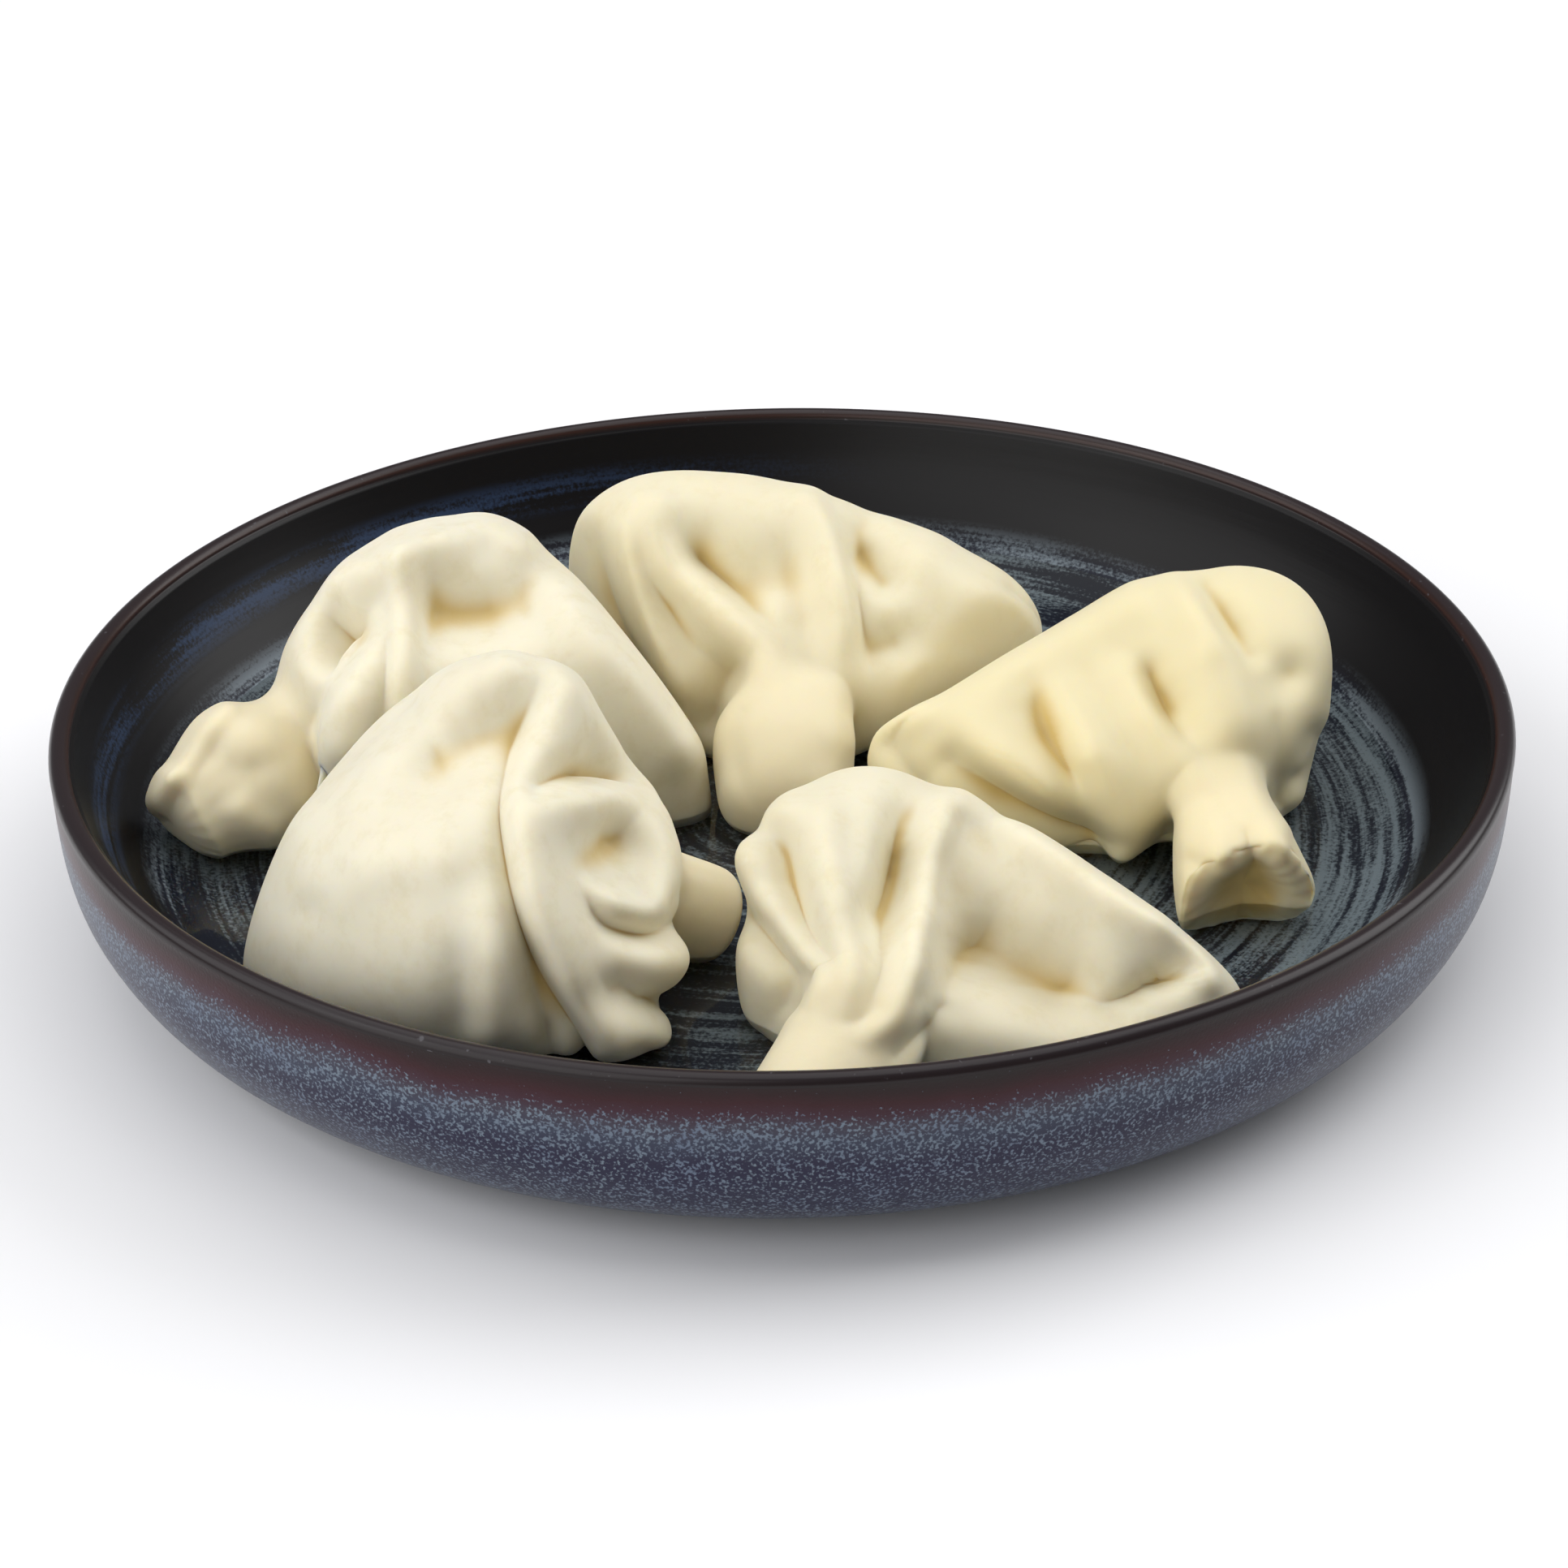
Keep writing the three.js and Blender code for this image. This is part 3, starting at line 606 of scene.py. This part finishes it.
        "neckRadius": 10.5, "endRadius": 10.5, "stemSwell": 0,
        "shoulders": [1.7, 1.9, 0.7, 0.8], "bellyPower": 1, "warmth": 0.3,
        "reach": [46, 24, 16, 14, 22, 33, 35, 32, 20, 15, 22, 42],
        "neckTurns": 15, "endTurns": 10, "flute": 0, "foldEnd": 1.6,
        "torn": [0] * 12, "endHollow": -3, "rim": 0,
        "presses": [((-4, -46, 20), 140, 0, 2), ((43, -50.5, 40), 30, 45, 5)],
        "folds": [
            (5, 4, 4, [(915, 1050), (932, 1018), (965, 1000)], 1, 0.8),
            (4, 2.6, 1.9, [(925, 1050), (936, 1090), (962, 1130), (988, 1166),
                (1010, 1200), (992, 1245), (962, 1285)], 0.5, 0.3),
            (-4.2, 1.6, 3, [(903, 1105), (930, 1138), (955, 1170), (980, 1200), (985, 1235)], 0.6, 0.6),
            (-5.6, 1.9, 4.6, [(962, 1030), (970, 1060), (978, 1100), (992, 1145), (1008, 1175)], 0.4, 0.4),
            (3.8, 2.8, 3, [(1014, 1000), (1016, 1040), (1028, 1100), (1042, 1155),
                (1050, 1205), (1030, 1250), (1000, 1290)], 0.5, 0.3),
            (-10.5, 6.8, 2.4, [(1104, 1015), (1100, 1045), (1091, 1080), (1083, 1108)], 0.5, 0.8),
            (-1.3, 2, 1.6, [(1080, 1125), (1082, 1160), (1083, 1196), (1073, 1230)], 0.5, 0.7),
            (5.4, 2, 2.6, [(1166, 1000), (1153, 1040), (1142, 1090), (1133, 1140),
                (1124, 1195), (1108, 1240), (1070, 1280)], 0.5, 0.4),
            (-6, 7, 2.6, [(1190, 1110), (1184, 1160), (1170, 1230)], 0.2, 0.6),
            (-18, 11, 8, [(1222, 1148), (1266, 1184), (1322, 1216), (1378, 1228)], 0.8, 0.5),
            (4.5, 3.4, 2.6, [(1190, 985), (1240, 1014), (1300, 1052), (1362, 1095), (1425, 1133)], 0.6, 1),
            (2.2, 2.4, 2.4, [(1128, 1248), (1095, 1270), (1060, 1292)], 0.8, 1),
            (-1.6, 1.7, 1.7, [(1088, 1248), (1055, 1262), (1020, 1262)], 1, 0.6),
            (-2.4, 1.6, 1.6, [(1152, 1250), (1132, 1278), (1105, 1305)], 0.6, 1),
            (2.6, 2.2, 2.2, [(1440, 1138), (1476, 1166), (1490, 1200)], 1, 1),
            (-6.5, 2, 2, [(1462, 1186), (1440, 1200)], 0.7, 1),
            (-3.6, 2, 2, [(1432, 1208), (1400, 1228), (1372, 1258)], 1, 1),
        ],
        "stemFolds": [],
    },
]


def reachAt(reach, angles):
    # a smooth closed curve through the twelve reaches
    reach = np.array(reach, float)
    place = angles / (2 * math.pi) * len(reach)
    index = np.floor(place).astype(int)
    share = place - index
    before, start, finish, after = [reach[(index + step) % len(reach)] for step in (-1, 0, 1, 2)]
    bend = 2 * before - 5 * start + 4 * finish - after
    twist = -before + 3 * start - 3 * finish + after
    return start + share * (finish - before + share * (bend + share * twist)) / 2


def unit(vectors):
    return vectors / np.linalg.norm(vectors, axis=-1, keepdims=True)


def between(values, rises, falls):
    # 0 up to the first pair of limits, 1 between the pairs and 0 past the last one
    return smoothStep(*rises, values) * (1 - smoothStep(*falls, values))


def bareSkin(shape, stage, angle, inward):
    # the skin without folds; inward goes from 0 at the end's edge to 1 in its middle
    belly, middle, neck, end = [np.array(shape[key], float) for key in ("belly", "middle", "neck", "end")]
    turn = math.pi * np.clip(stage, 0, 1)
    along = -np.cos(turn)[:, None]
    past = np.clip(stage - 1, 0, 1)
    centre = belly * along * (along - 1) / 2 + middle * (1 - along ** 2) + neck * along * (along + 1) / 2
    centre = np.where(past[:, None] > 0, neck + (end - neck) * past[:, None], centre)
    stemWay = unit(end - neck)
    bend = smoothStep(*dough["turnStages"], stage)[:, None]
    way = unit(unit(neck - belly) * (1 - bend) + stemWay * bend)
    up = unit(np.array([0, 0, 1]) - way * way[:, 2:])
    side = np.cross(up, way)
    offset = np.cos(angle)[:, None] * side + np.sin(angle)[:, None] * up
    closing = np.cos(inward * math.pi / 2) ** dough["capPower"]
    points = centre + offset * (skinRadius(shape, stage, angle) * closing)[:, None]
    return points + stemWay * stemEnd(shape, past, angle, inward, closing)[:, None]


def skinRadius(shape, stage, angle):
    # how far the skin lies from the centre line
    turn = math.pi * np.clip(stage, 0, 1)
    past = np.clip(stage - 1, 0, 1)
    reach = reachAt(shape["reach"], angle)
    swell = np.maximum(np.sin(turn), 0)
    onBelly = reach * swell ** shape["bellyPower"]
    neckRadius = shape["neckRadius"]
    toNeck = neckRadius + (reach - neckRadius) * swell ** reachAt(shape["shoulders"], angle)
    radius = np.where(stage < 0.5, onBelly, toNeck)
    sway = dough["swayShare"] * np.sin(dough["swayCount"] * angle + dough["swayTurn"])
    gather = 0.5 - 0.5 * np.cos(dough["gatherCount"] * (angle + sway))
    depth = dough["gatherDepth"] * smoothStep(*dough["gatherStages"], stage)
    depth = depth * (1 - dough["gatherEase"] * smoothStep(*dough["freeStages"], stage))
    stemRadius = neckRadius + (shape["endRadius"] - neckRadius) * smoothStep(0, 1, past)
    stemRadius = stemRadius + shape["stemSwell"] * np.sin(math.pi * past) ** dough["swellPower"]
    radius = np.where(past > 0, stemRadius, radius) * (1 - depth * gather * (1 - past))
    flute = shape["flute"] * np.cos(dough["fluteCount"] * angle + dough["fluteTurn"])
    return radius * (1 + flute * smoothStep(*dough["fluteStages"], stage))


def stemEnd(shape, past, angle, inward, closing):
    # how far the stem's end stands out: its torn and rolled edge, and its dome or hollow
    first, second = dough["frayCounts"]
    fray = shape["rim"] * dough["frayShare"] * np.sin(first * angle + dough["frayTurn"])
    frayed = reachAt(shape["torn"], angle) + fray * np.sin(second * angle)
    torn = frayed * smoothStep(*dough["tornStages"], past)
    sunk = smoothStep(*dough["cavityWall"], inward)
    if shape["endHollow"] < 0:
        sunk = np.sin(inward * math.pi / 2) ** dough["domePower"]
    edge = shape["rim"] * np.sin(math.pi * np.minimum(inward * dough["rimParts"], 1))
    return torn * closing ** dough["tornFade"] - sunk * shape["endHollow"] + edge


def settle(points, shape, stage, softness):
    # flattens the skin against its neighbours, the bowl's wall and its floor; the stem isn't pressed
    points = points.copy()
    pressed = 1 - smoothStep(*dough["freeStages"], stage)
    for place, azimuth, elevation, soft in shape["presses"]:
        azimuth, elevation = math.radians(azimuth), math.radians(elevation)
        normal = np.array([math.cos(azimuth) * math.cos(elevation), math.sin(azimuth) * math.cos(elevation),
                           math.sin(elevation)])
        inside = -(points - place) @ normal
        kept = keptAbove(inside, dough["neighbourGap"], soft * softness)
        points += ((inside - kept) * pressed)[:, None] * normal
    wall = sorted((height, radius) for radius, height in bowl["innerWall"])
    radius = np.hypot(points[:, 0], points[:, 1])
    room = np.interp(points[:, 2], *zip(*wall)) - dough["wallGap"]
    keptRadius = room - keptAbove(room - radius, 0, dough["wallSoftness"] * softness)
    points[:, :2] *= (keptRadius / np.maximum(radius, 1e-6))[:, None]
    rest = bowl["floorHeight"] + dough["restGap"]
    points[:, 2] = keptAbove(points[:, 2], rest, dough["floorSoftness"] * softness)
    return points


def onPlane(rays, shape):
    # where rays from the eye in front of the bowl meet the dumpling's own plane: mm across and up from its
    # middle
    drop = math.radians(dough["sightDrop"])
    sight = np.array([0, math.cos(drop), -math.sin(drop)])
    rise = np.array([0, math.sin(drop), math.cos(drop)])
    depth = ((shape["middle"] - dough["eye"]) @ sight) / (rays @ sight)
    seen = dough["eye"] + rays * depth[:, None] - shape["middle"]
    return np.stack([seen[:, 0], seen @ rise], 1)


def foldLines(shape, key):
    # each fold as a smooth line on the dumpling's plane, through its corners to the nearest half millimetre
    step = dough["cornerStep"]
    lines = []
    for push, leftWidth, rightWidth, corners, startShare, endShare in shape[key]:
        places = np.round(onPlane(pickedRays(corners), shape) / step) * step
        line = smoothLine(places, dough["lineSteps"])
        lines.append((push, leftWidth, rightWidth, line, startShare, endShare))
    return lines


def foldPush(places, folds):
    # every fold adds a crest or a crease that fades off to the left and the right of its line
    pushes = np.zeros(len(places))
    fade = dough["foldFade"]
    for push, leftWidth, rightWidth, line, startShare, endShare in folds:
        margin = dough["foldReach"] * max(leftWidth, rightWidth)
        near = np.all((places > line.min(0) - margin) & (places < line.max(0) + margin), axis=1)
        around = places[near]
        distance = np.linalg.norm(around - line[0], axis=1)
        along = np.full(len(around), 0.5 if len(line) == 1 else 0.0)
        side = np.zeros(len(around))
        lengths = np.concatenate([[0], np.cumsum(np.linalg.norm(np.diff(line, axis=0), axis=1))])
        for i in range(len(line) - 1):
            step = line[i + 1] - line[i]
            length = lengths[i + 1] - lengths[i]
            share = np.clip((around - line[i]) @ step / length ** 2, 0, 1)
            gap = around - line[i] - share[:, None] * step
            far = np.linalg.norm(gap, axis=1)
            nearer = far <= distance
            distance = np.where(nearer, far, distance)
            along = np.where(nearer, (lengths[i] + share * length) / lengths[-1], along)
            turn = (step[0] * gap[:, 1] - step[1] * gap[:, 0]) / (length * np.maximum(far, 1e-9))
            side = np.where(nearer, turn, side)
        width = (leftWidth + rightWidth + (leftWidth - rightWidth) * side) / 2
        local = push * np.interp(along, [0, fade, 1 - fade, 1], [startShare, 1, 1, endShare])
        pushes[near] += local * np.exp(-(distance / width) ** 2)
    return pushes


def vertexValues(mesh, name, size):
    values = np.empty(len(mesh.vertices) * size)
    mesh.vertices.foreach_get(name, values)
    return values.reshape(-1, size) if size > 1 else values


def setPlaces(mesh, points):
    mesh.vertices.foreach_set("co", (points * mm).astype(np.float32).ravel())
    mesh.update()


def evened(mesh, points, shares, turns):
    # each vertex moves towards the middle of its neighbours, as far as its share says
    ends = np.empty(len(mesh.edges) * 2, int)
    mesh.edges.foreach_get("vertices", ends)
    first, second = ends.reshape(-1, 2).T
    count = np.bincount(ends, minlength=len(points))
    weights = dough["evenShare"] * shares
    for turn in range(turns):
        sums = [np.bincount(first, points[second, axis], len(points)) +
                np.bincount(second, points[first, axis], len(points)) for axis in range(3)]
        points = points + weights[:, None] * (np.stack([total / count for total in sums], 1) - points)
    return points


def hollows(mesh, points):
    # how deep each point lies in the skin round it, in mm: the skin is smoothed over some 4 mm and compared.
    # The dough's painted fold shade is taken from it
    smooth = evened(mesh, points, np.ones(len(points)), dough["hollowTurns"])
    return ((smooth - points) * vertexValues(mesh, "normal", 3)).sum(1)


def rolledGrid(name):
    # a grid is rolled into a ball and joined. Returns the piece and its vertices' ways from the middle
    bpy.ops.mesh.primitive_grid_add(x_subdivisions=dough["columns"], y_subdivisions=dough["rings"], size=1)
    piece = bpy.context.object
    piece.name = name
    mesh = piece.data
    sheet = vertexValues(mesh, "co", 3) + 0.5
    around, down = sheet[:, 0] * 2 * math.pi, sheet[:, 1] * math.pi
    ball = np.stack([np.sin(down) * np.cos(around), np.sin(down) * np.sin(around), -np.cos(down)], 1)
    setPlaces(mesh, ball / mm)
    bpy.ops.object.mode_set(mode="EDIT")
    bpy.ops.mesh.select_all(action="SELECT")
    bpy.ops.mesh.remove_doubles(threshold=dough["joinGap"])
    bpy.ops.mesh.normals_make_consistent(inside=False)
    bpy.ops.object.mode_set(mode="OBJECT")
    return piece, unit(vertexValues(mesh, "co", 3))


def folded(mesh, shape, points, stage):
    # the folds push the skin out or in where the eye in front of the bowl sees it
    normals = vertexValues(mesh, "normal", 3)
    toEye = unit(dough["eye"] - points)
    facing = smoothStep(*dough["facingShares"], (normals * toEye).sum(1))
    way = unit(normals + dough["sightShare"] * toEye)
    seen = facing > 0
    onBody = 1 - smoothStep(1, shape["foldEnd"], stage[seen])
    onStem = smoothStep(*dough["stemStages"], stage[seen])
    bodyLines, stemLines = foldLines(shape, "folds"), foldLines(shape, "stemFolds")
    push = np.zeros(len(points))
    for turn in range(dough["foldPasses"]):
        places = onPlane(points[seen] + (way * (push * facing)[:, None])[seen] - dough["eye"], shape)
        found = foldPush(places, bodyLines) * onBody + foldPush(places, stemLines) * onStem
        push[seen] = (push[seen] * turn + found) / (turn + 1)
    push *= facing
    swell = (dough["swell"] * facing)[:, None]
    points = points + way * push[:, None] - normals * swell
    points = settle(points, shape, stage, dough["secondSoftness"])
    setPlaces(mesh, points)
    # the skin is puffed up again along the folds, which rounds the crests and tightens the creases
    points = points + vertexValues(mesh, "normal", 3) * swell
    return settle(points, shape, stage, dough["secondSoftness"])


def makeKhinkali(shape, material):
    # every vertex of a ball moves to its place on the dumpling, and then with the folds
    piece, ball = rolledGrid(shape["node"].replace("khinkali", "dumpling"))
    mesh = piece.data
    share = 1 - np.arccos(np.clip(ball[:, 2], -1, 1)) / math.pi
    angle = np.arctan2(ball[:, 1], ball[:, 0]) % (2 * math.pi)
    bodyShare, stemShare = dough["bodyShare"], dough["stemShare"]
    ends = [0, bodyShare, bodyShare + stemShare, 1]
    stage = np.interp(share, ends, [0, 1, 2, 2])
    inward = np.interp(share, ends, [0, 0, 0, 1])
    shape = {**shape, "middle": np.array(shape["middle"], float)}
    points = settle(bareSkin(shape, stage, angle, inward), shape, stage, 1)
    setPlaces(mesh, points)
    points = folded(mesh, shape, points, stage)
    points = evened(mesh, points, between(stage, *dough["neckEvenStages"]), shape["neckTurns"])
    points = evened(mesh, points, smoothStep(*dough["endEvenStages"], stage), shape["endTurns"])
    points = evened(mesh, points, 1 - smoothStep(*dough["evenStages"], stage), dough["evenTurns"])
    setPlaces(mesh, points)
    # painted shade: the deeper a point lies in a fold, the more of the golden fold colour it gets, in place
    # of the shade there
    hollow = hollows(mesh, points)
    # the neck gets less of the painted shade
    hollow *= 1 - dough["neckShadeShare"] * between(stage, *dough["neckShadeStages"])
    # the cavity of a hollow stem end gets painted shade too
    if shape["endHollow"] > 0:
        hollow = np.maximum(hollow, dough["cavityShade"] * smoothStep(*dough["cavityShadeStages"], inward))
    warmth = np.full(len(points), shape["warmth"])
    for name, values in (("hollow", hollow), ("stage", stage), ("warmth", warmth)):
        mesh.attributes.new(name, "FLOAT", "POINT").data.foreach_set("value", values.astype(np.float32))
    bpy.ops.object.shade_smooth()
    mesh.materials.append(material)
    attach(piece, "root")
    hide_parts(shape["node"])


def boiledDough():
    # Boiled wheat dough: cream, a little see-through and damp, and yellower on the stem; its folds get a
    # painted golden shade. Light goes some 2.5 mm into it, which softens its shadows, and the skin is
    # mottled with a faint grain
    material, tree, shader = newMaterial("boiled_wheat_dough")
    place = addNode(tree, "TexCoord")["Object"]
    hollow, warmth, stage = [addNode(tree, "Attribute", {"attribute_name": name})["Fac"]
                             for name in ("hollow", "warmth", "stage")]
    clouds = addNode(tree, "TexNoise", None,
                     {"Vector": place, "Scale": cells(26.32), "Detail": 2})["Fac"]
    base = addNode(tree, "ValToRGB", {"ramp": [(0.3, "e7e0cb"), (0.55, "ebe6d3"), (0.75, "e3ddc8")]},
                   {"Fac": clouds})["Color"]
    mottle = addNode(tree, "TexNoise", None,
                     {"Vector": place, "Scale": cells(4.762), "Detail": 4, "Roughness": 0.65})["Fac"]
    spotted = addNode(tree, "MapRange", softEdge,
                      {"Value": mottle, "From Min": 0.45, "From Max": 0.75, "To Max": 0.4})["Result"]
    mottled = addNode(tree, "Mix", colourMix, {0: spotted, 6: base, 7: srgb("d8cda9")})[2]
    warm = addNode(tree, "Mix", colourMix, {0: warmth, 6: mottled, 7: srgb("eadfb8")})[2]
    onStem = addNode(tree, "MapRange", softEdge,
                     {"Value": stage, "From Min": 0.8, "From Max": 1.25, "To Max": 0.7})["Result"]
    stemmed = addNode(tree, "Mix", colourMix, {0: onStem, 6: warm, 7: srgb("ebdfbc")})[2]
    # painted shade: deeper folds are coloured darker and more golden, in place of the shade that falls in
    # them
    paintedShadeShare = addNode(tree, "MapRange", softEdge,
                     {"Value": hollow, "From Min": 0, "From Max": 2, "To Max": 0.75})["Result"]
    colour = addNode(tree, "Mix", colourMix, {0: paintedShadeShare, 6: stemmed, 7: srgb("d6b768")})[2]
    tree.links.new(colour, shader.inputs["Base Color"])
    grain = addNode(tree, "TexNoise", None,
                    {"Vector": place, "Scale": cells(2), "Detail": 3, "Roughness": 0.6})["Fac"]
    bump = addNode(tree, "Bump", None, {"Height": grain, "Strength": 0.08, "Distance": 0.4 * mm})
    tree.links.new(bump["Normal"], shader.inputs["Normal"])
    shader.inputs["Roughness"].default_value = 0.48
    shader.inputs["Specular IOR Level"].default_value = 0.35
    shader.inputs["IOR"].default_value = 1.4
    shader.inputs["Subsurface Weight"].default_value = 0.8
    shader.inputs["Subsurface Radius"].default_value = (1, 0.8, 0.45)
    shader.inputs["Subsurface Scale"].default_value = 2.5 * mm
    return material


doughMaterial = boiledDough()
for shape in khinkali:
    makeKhinkali(shape, doughMaterial)
    print(shape["node"], "made")


# The film of cooking water on the bowl's floor

water = {
    "level": 16,
    "bottom": 12.2,
    "intoWall": 0.4,
    "sides": 144,
}


def clearWater():
    # Clear water: nothing but a thin reflection that grows at flat angles
    material, tree, shader = newMaterial("clear_cooking_water")
    place = addNode(tree, "TexCoord")["Object"]
    swell = addNode(tree, "TexNoise", None,
                    {"Vector": place, "Scale": cells(16.67), "Detail": 1})["Fac"]
    bump = addNode(tree, "Bump", None,
                   {"Height": swell, "Strength": 0.05, "Distance": 1 * mm})["Normal"]
    clear = addNode(tree, "BsdfTransparent", None, {"Color": (0.93, 0.94, 0.92, 1)})[0]
    gloss = addNode(tree, "BsdfAnisotropic", None, {"Roughness": 0.06, "Normal": bump})[0]
    share = addNode(tree, "Fresnel", None, {"IOR": 1.33, "Normal": bump})[0]
    mixed = addNode(tree, "MixShader", None, {0: share, 1: clear, 2: gloss})[0]
    tree.links.new(mixed, tree.nodes["Material Output"].inputs["Surface"])
    tree.nodes.remove(shader)
    return material


def makeWater():
    # a low disc that reaches just into the wall and the floor, so that no air gap shows
    wall = sorted((height, radius) for radius, height in bowl["innerWall"])
    topRadius = np.interp(water["level"], *zip(*wall)) + water["intoWall"]
    lowRadius = wall[0][1] + water["intoWall"]
    depth = (water["level"] - water["bottom"]) * mm
    bpy.ops.mesh.primitive_cone_add(vertices=water["sides"], radius1=lowRadius * mm, radius2=topRadius * mm,
                                    depth=depth, location=(0, 0, water["bottom"] * mm + depth / 2))
    piece = bpy.context.object
    piece.name = "cookingWater"
    bpy.ops.object.transform_apply(location=True)
    piece.data.materials.append(clearWater())
    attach(piece, "root")


makeWater()
print("water made")


# Floor, light and camera. Each lamp is a square that faces the bowl: name, place, size, power

stage = {
    "floorSize": 8,
    "floorGap": 0.0002,
    "lamps": [
        ("leftSoftbox", (-2.0, 0.2, 1.5), 1.8, 17),
        ("rightSoftbox", (1.85, 0.8, 1.5), 1.8, 30),
        ("frontSoftbox", (-1.4, -1.45, 1.2), 2.3, 30),
        ("topSoftbox", (0.0, 0.4, 2.3), 2.6, 31),
    ],
    "sky": 0.18,
}

bpy.ops.mesh.primitive_plane_add(size=stage["floorSize"], location=(0, 0, -stage["floorGap"]))
floorPiece = bpy.context.object
floorPiece.name = "paleFloor"
bpy.ops.object.transform_apply(location=True)
floorMaterial, floorTree, floorShader = newMaterial("matt_white_card")
floorShader.inputs["Base Color"].default_value = srgb("f4f4f6")
floorShader.inputs["Roughness"].default_value = 0.9
floorPiece.data.materials.append(floorMaterial)


def addLight(name, place, size, power):
    lamp = bpy.data.lights.new(name, "AREA")
    lamp.size = size
    lamp.energy = power
    lampObject = bpy.data.objects.new(name, lamp)
    bpy.context.scene.collection.objects.link(lampObject)
    lampObject.location = place
    lampObject.rotation_euler = (-Vector(place)).to_track_quat("-Z", "Y").to_euler()


for lampValues in stage["lamps"]:
    addLight(*lampValues)
world = bpy.data.worlds.new("whiteRoom")
world.use_nodes = True
world.node_tree.nodes["Background"].inputs["Color"].default_value = (1, 1, 1, 1)
world.node_tree.nodes["Background"].inputs["Strength"].default_value = stage["sky"]
bpy.context.scene.world = world
bpy.context.scene.view_settings.view_transform = "Standard"

lens = bpy.data.cameras.new("photoCamera")
lens.lens = camera["lens"]
lens.clip_start = camera["clipStart"]
cameraObject = bpy.data.objects.new("photoCamera", lens)
bpy.context.scene.collection.objects.link(cameraObject)
cameraObject.matrix_world = Matrix.Translation(camera["place"]) @ cameraTurn()
bpy.context.scene.camera = cameraObject
print("floor, light and camera set")
